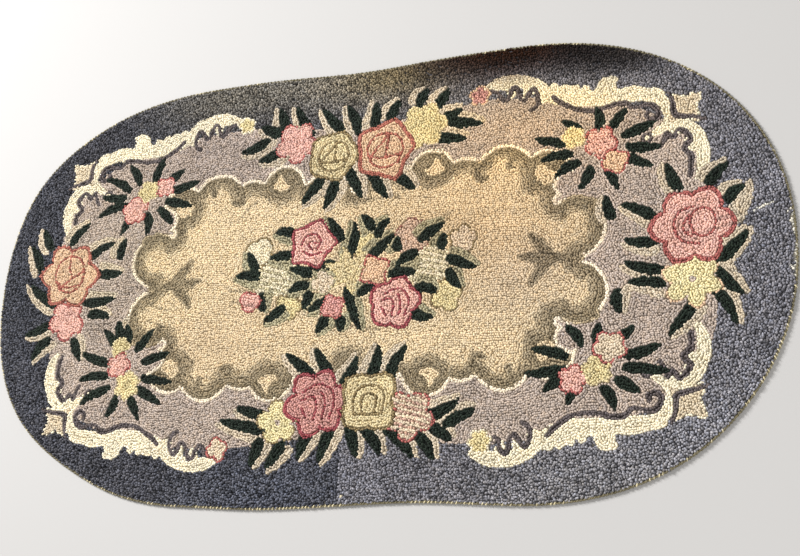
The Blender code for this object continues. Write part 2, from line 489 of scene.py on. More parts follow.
# the teeth along the band before the hook
TEETH = 4
FIRST_TOOTH = (0.380, 0.325)
NEXT_TOOTH = (0.0190, -0.0040)
TOOTH_HALF = (0.0085, 0.0080)
TOOTH_TURN = -0.6
# how far the maker's hand put each quarter's bracket from its mirrored place
BRACKET_SHIFTS = ((0.0, 0.004), (-0.004, 0.002), (0.0, 0.0), (-0.012, 0.002))
RAGGED = 0.0016  # how far the edge of a leaf strays, about a third of a loop


def lobed(x, y, radius, lobes, depth, turn, pointed=0.0):
    """How far inside a lobed outline each cell lies. The outline's radius falls from the full one at the tip
    of each lobe by the depth's share at the notches: as the root of a cosine for broad lobes with sharp
    notches, as one less a sine for pointed lobes with soft notches, or as a mix of both."""
    half_turn = lobes * (np.arctan2(y, x) - turn) / 2.0
    broad = np.abs(np.cos(half_turn)) ** 0.5
    points = 1.0 - np.abs(np.sin(half_turn)) ** 0.9
    return radius * (1.0 - depth + depth * (broad + (points - broad) * pointed)) - np.hypot(x, y)


def corner_leaf(flip, shift):
    """A square leaf with drawn-out tips, a pale ragged edge and a dark vein along its two inner sides."""
    centre = (CORNER_LEAF[0] * flip[0] + shift[0], CORNER_LEAF[1] * flip[1] + shift[1])
    where, x, y = around(centre, CORNER_LEAF_REACH)
    inside = RAGGED * drift(x, y, 0.006, 24) + lobed(
        x * flip[0], y * flip[1], CORNER_LEAF_REACH, 4, CORNER_LEAF_NOTCH, CORNER_LEAF_TURN, 1.0)
    pattern[where][inside > 0.0] = BRACKET
    pattern[where][inside > CORNER_LEAF_EDGE] = CORNER_BEIGE
    stroke(THREAD, CORNER_VEIN, flip, shift)


for quarter, shift in zip(QUARTERS, BRACKET_SHIFTS):
    stroke(BRACKET, BRACKET_BAND, quarter, shift)
    for x, y, half_along, half_across, turn in BRACKET_BUMPS + BRACKET_LOBES:
        blob(BRACKET, (x, y), (half_along, half_across), turn, quarter, shift)
    stroke(BRACKET, BRACKET_HOOK, quarter, shift)
    stroke(BRACKET, BRACKET_HORN, quarter, shift)
    blob(THREAD, HORN_RING, RING_OUTER, 0.0, quarter, shift)
    blob(BRACKET, HORN_RING, RING_INNER, 0.0, quarter, shift)
    for tooth in range(TEETH):
        tooth_at = (FIRST_TOOTH[0] + tooth * NEXT_TOOTH[0], FIRST_TOOTH[1] + tooth * NEXT_TOOTH[1])
        blob(BRACKET, tooth_at, TOOTH_HALF, TOOTH_TURN, quarter, shift)
    corner_leaf(quarter, shift)
    for thread in (THREAD_WAVE, THREAD_RUN, THREAD_END):
        stroke(THREAD, thread, quarter, shift)


# ---------------------------------------------------------------------------------------------------------
# The leaves: dark green blades that fan out round each group of flowers. In the four large groups each has
# a pale half beside it, as if light fell on one side. The corner sprays have dark blades alone.

LEAF = yarn("leaves", (27, 37, 28), heather=0.22, mottle=0.12)
HALF_LEAF = yarn("leaves", (198, 183, 160), heather=0.07, mottle=0.06)
SAGE = yarn("leaves", (166, 158, 128), heather=0.08, mottle=0.08)
BLADE = 0.0112
END_BLADE = 0.0104
SPRAY_BLADE = 0.0098
BOUQUET_BLADE = 0.0102
BLADE_BOW = 0.005
TUCKED = 0.06  # the share of a blade's length that lies under the side groups' flowers
# the pale halves, in shares of their blade: how much longer and wider, and how far aside
PALE_LONGER = 0.08
PALE_WIDER = 1.10
PALE_ASIDE = 1.65
GAP_HALF = 1.6 * END_BLADE
# base x, base y, tip x, tip y
FAR_LEAVES = (
    (-0.152, 0.302, -0.170, 0.356), (-0.094, 0.292, -0.134, 0.356), (-0.034, 0.288, -0.078, 0.341),
    (-0.002, 0.284, -0.024, 0.345), (0.033, 0.290, 0.034, 0.346), (0.062, 0.300, 0.084, 0.342),
    (0.122, 0.322, 0.140, 0.360), (0.158, 0.316, 0.180, 0.354), (-0.166, 0.298, -0.210, 0.320),
    (-0.190, 0.292, -0.250, 0.270), (-0.154, 0.268, -0.210, 0.249), (0.158, 0.284, 0.208, 0.310),
    (0.172, 0.290, 0.247, 0.272), (0.154, 0.254, 0.218, 0.247), (-0.070, 0.200, -0.112, 0.148),
    (-0.040, 0.192, -0.064, 0.134), (-0.018, 0.212, 0.014, 0.151), (0.028, 0.198, 0.065, 0.143),
    (0.068, 0.200, 0.118, 0.156),
)
NEAR_LEAVES = (
    (-0.056, -0.198, -0.122, -0.141), (-0.030, -0.186, -0.064, -0.134), (-0.008, -0.212, 0.020, -0.152),
    (0.044, -0.190, 0.061, -0.136), (0.080, -0.202, 0.115, -0.138), (-0.154, -0.262, -0.217, -0.238),
    (-0.160, -0.284, -0.254, -0.262), (-0.164, -0.300, -0.182, -0.350), (-0.118, -0.306, -0.152, -0.356),
    (-0.062, -0.284, -0.088, -0.338), (-0.022, -0.282, -0.048, -0.343), (0.008, -0.284, 0.024, -0.338),
    (0.036, -0.284, 0.072, -0.335), (0.076, -0.282, 0.132, -0.340), (0.134, -0.298, 0.170, -0.342),
    (0.150, -0.266, 0.214, -0.236), (0.188, -0.282, 0.243, -0.254), (0.160, -0.284, 0.202, -0.310),
)
LEFT_LEAVES = (
    (-0.668, 0.098, -0.694, 0.150), (-0.628, 0.104, -0.584, 0.152), (-0.582, 0.074, -0.520, 0.104),
    (-0.552, 0.042, -0.494, 0.038), (-0.584, -0.018, -0.506, -0.010), (-0.566, -0.042, -0.514, -0.054),
    (-0.598, -0.090, -0.572, -0.138), (-0.648, -0.086, -0.688, -0.134), (-0.652, -0.054, -0.712, -0.078),
    (-0.642, -0.022, -0.714, 0.030), (-0.690, 0.052, -0.720, 0.112), (-0.506, 0.066, -0.494, 0.112),
    (-0.492, -0.060, -0.472, -0.104),
)
RIGHT_LEAVES = (
    (0.600, 0.108, 0.574, 0.162), (0.640, 0.110, 0.680, 0.152), (0.668, 0.078, 0.702, 0.110),
    (0.654, -0.022, 0.704, 0.030), (0.652, -0.034, 0.694, -0.080), (0.642, -0.062, 0.678, -0.130),
    (0.618, -0.084, 0.570, -0.144), (0.570, -0.058, 0.504, -0.048), (0.568, -0.030, 0.498, -0.010),
    (0.562, 0.022, 0.498, 0.028), (0.556, 0.062, 0.498, 0.092), (0.484, 0.066, 0.470, 0.112),
    (0.486, -0.058, 0.494, -0.102),
)
# the broad pale halves that fill the gaps beside the right rose
RIGHT_HALVES = ((0.674, 0.032, 0.713, 0.118), (0.652, -0.034, 0.712, 0.036))
# centre x, y, half lengths of the inner ellipse, half lengths of the outer one, and turn
SPRAYS = (
    (-0.456, 0.196, 0.052, 0.036, 0.112, 0.078, 0.2), (0.460, 0.202, 0.052, 0.038, 0.110, 0.076, -0.1),
    (0.446, -0.188, 0.055, 0.040, 0.112, 0.074, 0.35), (-0.466, -0.164, 0.042, 0.054, 0.106, 0.096, -0.15),
)
SPRAY_LEAVES = 11
SPRAY_WANDER = 0.16
SPRAY_START = 0.88


def leaf(colour, base, tip, half, bend=0.0, aside=0.0):
    """Lays a blade from base to tip. It is widest soon after the base and narrows to the tip, as a power of
    one less a power of the share walked; its middle bows to one side, and its edge is a little ragged."""
    dx = tip[0] - base[0]
    dy = tip[1] - base[1]
    length = np.hypot(dx, dy)
    where, x, y = around(((base[0] + tip[0]) / 2, (base[1] + tip[1]) / 2), length)
    share = (x * dx + y * dy) / length**2 + 0.5
    walked = np.clip(share, 0.0, 1.0)
    side = (y * dx - x * dy) / length - aside * (1.0 - 0.6 * walked) - 4.0 * bend * walked * (1.0 - walked)
    swell = np.clip((walked + 0.08) / 0.34, 0.0, 1.0) ** 0.5 * (1.0 - walked**3.2) ** 0.66
    inside = np.abs(side) + RAGGED * drift(x, y, 0.006, 24) < half * swell
    pattern[where][inside & (share > 0.0) & (share < 1.0)] = colour


def fan(leaves, half, pale=None, under=0.0):
    """Lays a group of blades, the pale halves first, each beside its blade and a little longer. A blade
    starts a share of its length before its base, under the flowers."""
    rng = np.random.default_rng(len(leaves))
    bends = rng.uniform(-BLADE_BOW, BLADE_BOW, len(leaves))
    starts = [(bx - under * (tx - bx), by - under * (ty - by)) for bx, by, tx, ty in leaves]
    if pale is not None:
        for (bx, by, tx, ty), start, bend in zip(leaves, starts, bends):
            end = (tx + PALE_LONGER * (tx - bx), ty + PALE_LONGER * (ty - by))
            leaf(pale, start, end, PALE_WIDER * half, bend, PALE_ASIDE * half)
    for blade, start, bend in zip(leaves, starts, bends):
        leaf(LEAF, start, blade[2:], half, bend)


def spray_leaves(x, y, half_wide, half_deep, reach_wide, reach_deep, turn):
    """Base and tip of each blade of a spray: they leave an inner ellipse and end near an outer one, at even
    angles that wander a little. The spray's own place gives the seed."""
    rng = np.random.default_rng(int(1000 * abs(x) + 7 * (y > 0)))
    blade = np.arange(SPRAY_LEAVES) + rng.uniform(-SPRAY_WANDER, SPRAY_WANDER, SPRAY_LEAVES)
    angle = turn + 2 * np.pi * blade / SPRAY_LEAVES
    reach = rng.uniform(0.96, 1.14, SPRAY_LEAVES)
    base_x = x + half_wide * SPRAY_START * np.cos(angle)
    base_y = y + half_deep * SPRAY_START * np.sin(angle)
    tip_x = x + reach_wide * reach * np.cos(angle)
    tip_y = y + reach_deep * reach * np.sin(angle)
    return list(zip(base_x, base_y, tip_x, tip_y))


for group in (FAR_LEAVES, NEAR_LEAVES):
    fan(group, BLADE, HALF_LEAF, TUCKED)
for blade in RIGHT_HALVES:
    leaf(HALF_LEAF, blade[:2], blade[2:], GAP_HALF)
for group in (LEFT_LEAVES, RIGHT_LEAVES):
    fan(group, END_BLADE, HALF_LEAF)
for spray in SPRAYS:
    fan(spray_leaves(*spray), SPRAY_BLADE)


# ---------------------------------------------------------------------------------------------------------
# The flowers: a pair of roses with two smaller flowers in the middle of each long side, a rose and a flower
# at each end, three small flowers in each corner spray, a bud on each bracket, and the middle bouquet. Most
# are outlined in one or two rows of a deeper yarn, and a rose has its folds drawn in the same line.

PINK = yarn("flowers", (217, 172, 158), heather=0.07, mottle=0.08)
DEEP_PINK = yarn("flowers", (199, 147, 138), heather=0.08, mottle=0.09)
ROSE_LINE = yarn("flowers", (168, 98, 92), heather=0.10, mottle=0.08)
CRIMSON = yarn("flowers", (150, 76, 80), heather=0.12, mottle=0.10)
PEACH = yarn("flowers", (211, 179, 148), heather=0.07, mottle=0.07)
CORAL = yarn("flowers", (166, 102, 88), heather=0.10, mottle=0.08)
YELLOW = yarn("flowers", (213, 197, 150), heather=0.07, mottle=0.08)
PALE_YELLOW = yarn("flowers", (221, 208, 162), heather=0.07, mottle=0.08)
STRAW = yarn("flowers", (211, 194, 153), heather=0.07, mottle=0.07)
OLIVE = yarn("flowers", (140, 122, 88), heather=0.12, mottle=0.08)
PETAL_CREAM = yarn("flowers", (214, 196, 170), heather=0.06, mottle=0.05)
TULIP = yarn("flowers", (219, 207, 178), heather=0.06, mottle=0.05)
TULIP_STRIPE = yarn("flowers", (187, 177, 144), heather=0.08, mottle=0.06)
FADED_PINK = yarn("flowers", (202, 175, 153), heather=0.08, mottle=0.08)
BLUSH = yarn("flowers", (190, 156, 138), heather=0.08, mottle=0.06)
RUST_LINE = yarn("flowers", (134, 91, 80), heather=0.12, mottle=0.08)
ROW = 0.0041  # from one row of loops to the next

# x, y, size, lobes, depth of the notches, turn, pointedness, body yarn, line yarn, rows of line, heart
FAR_FLOWERS = (
    (-0.128, 0.276, 0.044, 5, 0.36, 0.95, 0.0, PINK, ROSE_LINE, 0.9, "none"),
    (0.131, 0.283, 0.049, 6, 0.34, 0.1, 0.3, YELLOW, STRAW, 1.0, "none"),
    (-0.048, 0.242, 0.055, 5, 0.16, 1.2, 0.6, STRAW, OLIVE, 1.5, "sail"),
    (0.057, 0.243, 0.064, 5, 0.2, 1.3, 0.75, PEACH, CORAL, 2.0, "sail"),
)
NEAR_FLOWERS = (
    (-0.130, -0.270, 0.042, 5, 0.42, 0.5, 0.0, PALE_YELLOW, OLIVE, 0.8, "dot"),
    (0.122, -0.264, 0.047, 5, 0.42, 0.9, 0.0, PETAL_CREAM, ROSE_LINE, 1.0, "blush stripes"),
    (-0.054, -0.236, 0.067, 6, 0.32, 1.22, 0.3, DEEP_PINK, CRIMSON, 2.0, "cabbage"),
    (0.047, -0.236, 0.062, 4, 0.26, 0.78, 0.55, STRAW, OLIVE, 1.5, "nested"),
)
END_FLOWERS = (
    (-0.616, -0.052, 0.045, 5, 0.44, 0.9, 0.0, PINK, ROSE_LINE, 1.3, "none"),
    (-0.622, 0.043, 0.075, 6, 0.3, -0.05, 0.4, PEACH, CORAL, 1.9, "oval"),
    (0.612, -0.050, 0.052, 6, 0.4, 0.7, 0.3, PALE_YELLOW, PEACH, 0.8, "dot"),
    (0.616, 0.044, 0.073, 6, 0.27, 0.0, 0.3, PINK, ROSE_LINE, 2.1, "twin"),
)
# x, y, size, lobes, body yarn, line yarn
SMALL_FLOWERS = (
    (-0.480, 0.170, 0.030, 5, PINK, ROSE_LINE), (-0.455, 0.208, 0.025, 5, YELLOW, STRAW),
    (-0.415, 0.214, 0.024, 4, PINK, ROSE_LINE), (0.415, 0.226, 0.023, 5, YELLOW, STRAW),
    (0.463, 0.211, 0.032, 5, PINK, ROSE_LINE), (0.488, 0.173, 0.026, 4, PEACH, ROSE_LINE),
    (0.410, -0.211, 0.027, 5, PINK, ROSE_LINE), (0.452, -0.196, 0.028, 5, YELLOW, STRAW),
    (0.472, -0.158, 0.031, 5, PETAL_CREAM, ROSE_LINE), (-0.480, -0.114, 0.023, 5, YELLOW, STRAW),
    (-0.482, -0.150, 0.028, 5, PINK, ROSE_LINE), (-0.458, -0.190, 0.029, 6, YELLOW, STRAW),
    (-0.240, 0.326, 0.020, 5, YELLOW, BRACKET), (0.241, 0.330, 0.021, 5, DEEP_PINK, PEACH),
    (0.250, -0.312, 0.022, 6, YELLOW, BRACKET), (-0.250, -0.317, 0.024, 4, PETAL_CREAM, ROSE_LINE),
)
BOUQUET_LEAVES = (
    (-0.118, 0.088, -0.162, 0.098), (-0.122, 0.050, -0.170, 0.046), (-0.192, 0.012, -0.216, 0.062),
    (-0.186, 0.008, -0.240, 0.013), (-0.080, 0.004, -0.128, 0.022), (-0.082, -0.012, -0.126, -0.026),
    (-0.030, 0.022, -0.088, 0.022), (-0.022, 0.066, -0.052, 0.117), (-0.006, 0.034, 0.001, 0.104),
    (0.038, 0.084, 0.016, 0.116), (0.044, 0.070, 0.072, 0.106), (0.034, 0.028, 0.080, 0.074),
    (0.094, 0.040, 0.088, 0.068), (0.130, 0.052, 0.180, 0.088), (0.172, 0.036, 0.180, 0.068),
    (0.128, 0.036, 0.086, 0.012), (0.072, -0.004, 0.128, -0.002), (0.182, 0.022, 0.240, -0.003),
    (0.186, 0.000, 0.212, -0.040), (0.014, -0.038, 0.062, -0.028), (0.124, -0.032, 0.168, -0.044),
    (0.116, -0.078, 0.162, -0.092), (-0.010, -0.022, 0.020, -0.104), (-0.040, -0.044, -0.084, -0.066),
    (-0.044, -0.070, -0.066, -0.107), (-0.026, -0.074, -0.018, -0.108), (-0.082, -0.026, -0.094, -0.062),
    (-0.132, -0.052, -0.174, -0.079), (-0.184, -0.024, -0.174, -0.062),
)
# the bouquet's flowers that lie under its leaves, and those on top
BOUQUET_UNDER = (
    (-0.150, 0.000, 0.046, 2, 0.42, 0.0, 0.0, TULIP, TULIP, 0.5, "stripes"),
    (0.150, 0.010, 0.042, 2, 0.26, 0.1, 0.0, TULIP, TULIP, 0.5, "stripes"),
    (-0.190, 0.060, 0.031, 3, 0.3, 0.9, 0.0, TULIP, OLIVE, 0.8, "none"),
    (0.214, 0.054, 0.028, 5, 0.36, 0.2, 0.0, PETAL_CREAM, OLIVE, 0.8, "none"),
    (0.186, -0.050, 0.032, 4, 0.42, 0.4, 0.0, YELLOW, OLIVE, 0.8, "none"),
    (-0.124, -0.054, 0.030, 5, 0.4, 0.0, 0.0, YELLOW, OLIVE, 0.8, "none"),
    (0.118, 0.066, 0.036, 5, 0.16, 0.6, 0.0, FADED_PINK, RUST_LINE, 0.8, "none"),
    (0.030, 0.062, 0.034, 5, 0.44, 0.3, 0.0, YELLOW, OLIVE, 0.8, "none"),
)
BOUQUET_OVER = (
    (-0.006, 0.010, 0.050, 6, 0.58, 0.75, 0.85, STRAW, YELLOW, 1.0, "none"),
    (-0.056, -0.010, 0.026, 4, 0.4, 0.2, 0.0, PETAL_CREAM, SAGE, 0.7, "none"),
    (0.046, 0.006, 0.034, 4, 0.34, 0.5, 0.7, PEACH, ROSE_LINE, 0.9, "none"),
    (-0.204, -0.040, 0.023, 3, 0.28, 0.3, 0.2, PINK, ROSE_LINE, 0.8, "none"),
    (-0.034, -0.058, 0.027, 4, 0.4, 0.5, 0.5, DEEP_PINK, ROSE_LINE, 0.8, "none"),
    (-0.081, 0.066, 0.054, 5, 0.26, 0.0, 0.9, PINK, CRIMSON, 1.7, "swirl"),
    (0.088, -0.058, 0.052, 5, 0.24, 1.35, 0.3, PINK, CRIMSON, 1.7, "cabbage"),
)


def ring(x, y, wide, high):
    """Steps round an ellipse, back to the first."""
    turn = np.linspace(0.0, 2.0 * np.pi, 9)
    return tuple(zip(x + wide * np.cos(turn), y + high * np.sin(turn)))


# the folds of each kind of rose, as steps in shares of its size
FOLDS = {
    "oval": (
        ring(0.04, 0.02, 0.46, 0.52), ((0.00, 0.52), (0.02, 0.16), (0.14, -0.08)),
        ((0.46, 0.10), (0.14, -0.08), (-0.24, -0.36)), ((-0.40, -0.16), (-0.10, -0.34), (0.36, -0.30)),
    ),
    "cabbage": (
        ((-0.44, 0.30), (0.00, 0.50), (0.40, 0.32), (0.50, -0.04), (0.36, -0.46)),
        ((0.10, 0.30), (0.22, -0.02), (0.14, -0.44)),
        ((-0.50, 0.08), (-0.16, 0.18), (-0.04, -0.10), (-0.12, -0.46)), ((-0.48, -0.14), (-0.34, -0.42)),
    ),
    "twin": (
        ring(0.22, 0.06, 0.30, 0.34),
        ((0.04, 0.46), (-0.30, 0.34), (-0.44, 0.00), (-0.26, -0.34), (0.12, -0.44)),
        ((-0.12, 0.22), (-0.24, -0.04), (-0.08, -0.26)),
    ),
    "nested": (
        ((-0.46, -0.34), (-0.50, 0.08), (-0.26, 0.42), (0.20, 0.44), (0.46, 0.14), (0.38, -0.34)),
        ((-0.22, -0.36), (-0.24, 0.10), (0.00, 0.22), (0.20, 0.06), (0.14, -0.34)),
        ((-0.46, -0.38), (0.38, -0.38)),
    ),
    "swirl": (
        ((0.08, 0.02), (-0.08, 0.12), (-0.20, -0.02), (-0.04, -0.20), (0.22, -0.12), (0.30, 0.14)),
        ((0.30, 0.14), (0.04, 0.38), (-0.32, 0.30), (-0.46, 0.00)),
        ((-0.40, -0.22), (-0.06, -0.42), (0.34, -0.34)),
    ),
    "sail": (
        ring(0.00, -0.02, 0.57, 0.55), ((0.10, 0.50), (0.05, 0.12), (0.02, -0.24)),
        ((0.06, 0.46), (-0.20, 0.12), (-0.46, -0.18)), ((-0.46, -0.20), (0.00, -0.26), (0.48, -0.16)),
    ),
    "none": (),
}
STRIPES = {"stripes": TULIP_STRIPE, "blush stripes": BLUSH}
STRIPE_PITCH = 2.9 * ROW
STRIPE_SLANT = 0.25
STRIPE_SHARE = 0.40
EYE = 1.4 * ROW
SMALL_NOTCH = 0.36
SMALL_ROWS = 0.9
PETAL_WAVER = 0.06
FOLD_LINE = 0.0021


def flower(at_x, at_y, size, lobes, depth, turn, pointed, body, line, rows, heart):
    """Lays one flower: its lobed outline in the line yarn, so many rows wide, its body, and its heart, which
    is drawn folds, slanting stripes, or an eye."""
    where, x, y = around((at_x, at_y), size)
    uneven = PETAL_WAVER * size * drift(x / size, y / size + 9.0 * at_x, 0.7, 25)
    inside = uneven + lobed(x, y, size, lobes, depth, turn, pointed)
    pattern[where][inside > 0.0] = line
    of_body = inside > rows * ROW
    pattern[where][of_body] = body
    if heart == "dot":
        pattern[where][np.hypot(x, y) < EYE] = MAUVE
    elif heart in STRIPES:
        striped = ((y + STRIPE_SLANT * x) / STRIPE_PITCH) % 1.0 < STRIPE_SHARE
        pattern[where][of_body & striped] = STRIPES[heart]
    else:
        for fold in FOLDS[heart]:
            stroke(line, [(at_x + u * size, at_y + v * size, FOLD_LINE) for u, v in fold])


for spec in FAR_FLOWERS + NEAR_FLOWERS + END_FLOWERS:
    flower(*spec)
for x, y, size, lobes, body, line in SMALL_FLOWERS:
    flower(x, y, size, lobes, SMALL_NOTCH, 10.0 * x + y, 0.0, body, line, SMALL_ROWS, "none")
for spec in BOUQUET_UNDER:
    flower(*spec)
fan(BOUQUET_LEAVES, BOUQUET_BLADE, SAGE)
for spec in BOUQUET_OVER:
    flower(*spec)

# ---------------------------------------------------------------------------------------------------------
# The wear: at the right end the wool is worn off a short slit and bits of the edge, so that the pale cotton
# foundation frays out there, and creases run through the pile where the rug was folded, lower and darkened
# by painted shade.

FRAY = yarn("border_east", (232, 227, 214), heather=0.10, mottle=0.06)
SLIT = ((0.714, 0.060, 0.0020), (0.730, 0.068, 0.0026), (0.746, 0.075, 0.0022))
FRAYED_FROM = -0.110
FRAYED_TO = 0.066
FRAYED_DEEP = 0.0058
NEAR_NICK = (0.000, -0.402)  # a loop or two of pale wool near the seam
NICK_HALF = (0.0035, 0.0035)
# from x, y to x, y
CREASES = (
    (-0.572, -0.058, -0.508, -0.066), (-0.566, -0.070, -0.512, -0.076), (-0.250, -0.012, -0.182, -0.018),
    (-0.246, -0.034, -0.190, -0.046), (0.000, -0.092, 0.060, -0.104), (-0.236, 0.138, -0.206, 0.168),
    (0.640, 0.036, 0.694, 0.046), (0.694, 0.046, 0.716, 0.061), (0.742, 0.074, 0.776, 0.088),
    (0.652, 0.054, 0.690, 0.060), (0.020, 0.150, 0.090, 0.148),
    (-0.420, -0.030, -0.384, -0.042), (-0.430, -0.060, -0.392, -0.072), (0.330, 0.020, 0.390, 0.014),
)
# painted shade: a crease's loops are darkened by this share at its middle
CREASE_SHADE = 0.55
CREASE_HALF = 0.0019

stroke(FRAY, SLIT)
bitten = 0.4 + 1.3 * drift(cell_x, cell_y, 0.022, 27) + 0.8 * drift(cell_x, cell_y, 0.006, 29)
frayed = (inside_edge(cell_x, cell_y) - TAPE_LIP < FRAYED_DEEP * bitten) & (cell_x > 0.0)
pattern[frayed & (cell_y > FRAYED_FROM) & (cell_y < FRAYED_TO)] = FRAY
blob(BRACKET, NEAR_NICK, NICK_HALF)


def creased(x, y):
    """How near each point lies to a crease, from 0 to 1: a soft ridge about a straight line, with a little
    wander."""
    near = np.zeros(len(x))
    y = y + 0.0014 * drift(x, y, 0.012, 28)
    for ax, ay, bx, by in CREASES:
        dx = bx - ax
        dy = by - ay
        share = np.clip(((x - ax) * dx + (y - ay) * dy) / (dx**2 + dy**2), 0, 1)
        gap = np.hypot(x - ax - share * dx, y - ay - share * dy)
        near = np.maximum(near, np.exp(-((gap / CREASE_HALF) ** 2)))
    return near


# ---------------------------------------------------------------------------------------------------------
# The hooking: the maker outlines each shape with a row of loops just inside its drawn line, then fills it
# with rows that echo the first. Wide plain areas are filled with long wavering rows once the shapes have
# their echoes. A hook pulls one loop of wool up through the burlap every few threads along a row.

LOOP_STEP = 0.0039
ECHO_ROWS = 3.0
CROWDED = 0.0027  # two loops nearer than this can't both be hooked
BARE = 3.2  # a bare spot this many cells from any loop takes one more
PLAIN_ROWS = 101  # the first number of the zones of plain rows, past every yarn's number
LOOK_AHEAD = 14  # doublings that reach past the longest row
KEY_ROW = 10000  # more squares than the rug has along a side
MEANDER = 0.0030
ROW_START = 0.6  # further than half the rug's width, so that every plain row has a number above 0
WAVER_BROAD = 0.0055
WAVER_FINE = 0.0016
# the yarns of the wide plain areas, and how far their rows climb along the rug
PLAIN = ((CREAM, 0.02), (MAUVE, -0.06))


def blurred(field):
    """The mean of each cell and its four neighbours, twice."""
    for _ in range(2):
        padded = np.pad(field, 1, mode="edge")
        field = (padded[1:-1, 1:-1] * 2 + padded[:-2, 1:-1] + padded[2:, 1:-1]
                 + padded[1:-1, :-2] + padded[1:-1, 2:]) / 6.0
    return field


def row_lines(level, zone):
    """The rows as short directed steps: where the level passes a whole number between two neighbouring
    cells there is a crossing, and inside each square of four cells the crossings are joined with the higher
    side on the left. Returns each crossing's place, its level, and the crossing that follows it, or -1."""
    whole = np.floor(level).astype(np.int32)
    corner = (slice(None, -1), slice(1, None))
    squares = [(corner[j], corner[i]) for j, i in ((0, 0), (0, 1), (1, 1), (1, 0))]
    values = np.stack([whole[square] for square in squares])
    top = values.max(axis=0)
    one_zone = np.all([zone[square] == zone[squares[0]] for square in squares], axis=0)
    good = one_zone & (zone[squares[0]] > 0) & (values.min(axis=0) == top - 1)
    r, c = np.nonzero(good)
    case = np.sum([(values[k][r, c] == top[r, c]) << k for k in range(4)], axis=0)
    count = level.size
    cols = level.shape[1]
    # which corners are higher, and the sides that the row enters and leaves by: below, right, above, left
    sides = np.stack([r * cols + c, count + r * cols + c + 1, (r + 1) * cols + c, count + r * cols + c])
    joins = ((1, 0, 3), (2, 1, 0), (4, 2, 1), (8, 3, 2), (3, 1, 3), (6, 2, 0), (12, 3, 1), (9, 0, 2),
             (14, 3, 0), (13, 0, 1), (11, 1, 2), (7, 2, 3), (5, 0, 3), (5, 2, 1), (10, 1, 0), (10, 3, 2))
    starts = np.concatenate([sides[a][case == kind] for kind, a, b in joins])
    ends = np.concatenate([sides[b][case == kind] for kind, a, b in joins])
    known = np.unique(np.concatenate([starts, ends]))
    follows = np.full(len(known), -1)
    follows[np.searchsorted(known, starts)] = np.searchsorted(known, ends)
    upright = known >= count
    first = np.where(upright, known - count, known)
    r, c = first // cols, first % cols
    r2, c2 = r + upright, c + ~upright
    low, high = level[r, c], level[r2, c2]
    height = np.maximum(whole[r, c], whole[r2, c2])
    share = np.clip((height - low) / np.where(high == low, 1.0, high - low), 0.0, 1.0)
    place_x = grid_x[0] + (c + share * ~upright) * CELL
    place_y = grid_y[0] + (r + share * upright) * CELL
    return place_x, place_y, height, follows


def hooked_along(x, y, follows):
    """Spaces loops evenly along each row. Rows that close on themselves are cut at their first crossing.
    Doubling how far each crossing looks ahead gives its row's end and its distance from it."""
    count = len(x)
    own = np.arange(count)
    ahead = np.where(follows < 0, own, follows)
    least, jump = own.copy(), ahead.copy()
    for _ in range(LOOK_AHEAD):
        least = np.minimum(least, least[jump])
        jump = jump[jump]
    closes = (jump != ahead[jump]) & (ahead[own] == least[own])
    ahead[closes] = own[closes]
    left = np.hypot(x[ahead] - x, y[ahead] - y)
    step = left.copy()
    jump = ahead.copy()
    for _ in range(LOOK_AHEAD):
        left = left + left[jump] * (jump != own)
        jump = jump[jump]
    row_length = np.zeros(count)
    np.maximum.at(row_length, jump, left)
    length = row_length[jump]
    loops = np.maximum(np.round(length / LOOP_STEP), 1.0)
    per_metre = loops / np.maximum(length, 1e-6)
    before = (length - left) * per_metre - 0.5
    after = before + step * per_metre
    hooked = np.floor(after) > np.floor(before)
    share = ((np.floor(before) + 1 - before) / np.maximum(after - before, 1e-9))[hooked]
    place_x = x[hooked] + share * (x[ahead] - x)[hooked]
    place_y = y[hooked] + share * (y[ahead] - y)[hooked]
    return place_x, place_y, jump[hooked], hooked


def crowded_out(x, y, rank):
    """Which loops are left out because one of lower rank stands too near. Loops are sorted into squares
    as wide as the smallest gap, and only those in touching squares are compared."""
    square = np.floor(np.stack([x, y]) / CROWDED).astype(np.int64) + KEY_ROW // 2
    key = square[0] * KEY_ROW + square[1]
    order = np.argsort(key, kind="stable")
    sorted_key = key[order]
    pairs = []
    for offset in (0, 1, KEY_ROW - 1, KEY_ROW, KEY_ROW + 1):
        first = np.searchsorted(sorted_key, sorted_key + offset, "left")
        last = np.searchsorted(sorted_key, sorted_key + offset, "right")
        for extra in range(int((last - first).max())):
            mine = np.nonzero(first + extra < last)[0]
            other = (first + extra)[mine]
            mine, other = (mine[mine < other], other[mine < other]) if offset == 0 else (mine, other)
            i, j = order[mine], order[other]
            close = np.hypot(x[i] - x[j], y[i] - y[j]) < CROWDED
            pairs.append(np.stack([i[close], j[close]]))
    i, j = np.concatenate(pairs, axis=1)
    swap = rank[i] > rank[j]
    keep, drop = np.where(swap, j, i), np.where(swap, i, j)
    gone = np.zeros(len(x), bool)
    for _ in range(12):
        alive = ~gone[keep] & ~gone[drop]
        losing = np.zeros(len(x), bool)
        losing[drop[alive]] = True
        gone[drop[alive & ~losing[keep]]] = True
    return gone


def cell_at(x, y):
    """The row and the column of the grid's cell nearest to each point."""
    row = np.clip(np.round((y - grid_y[0]) / CELL).astype(int), 0, len(grid_y) - 1)
    col = np.clip(np.round((x - grid_x[0]) / CELL).astype(int), 0, len(grid_x) - 1)
    return row, col


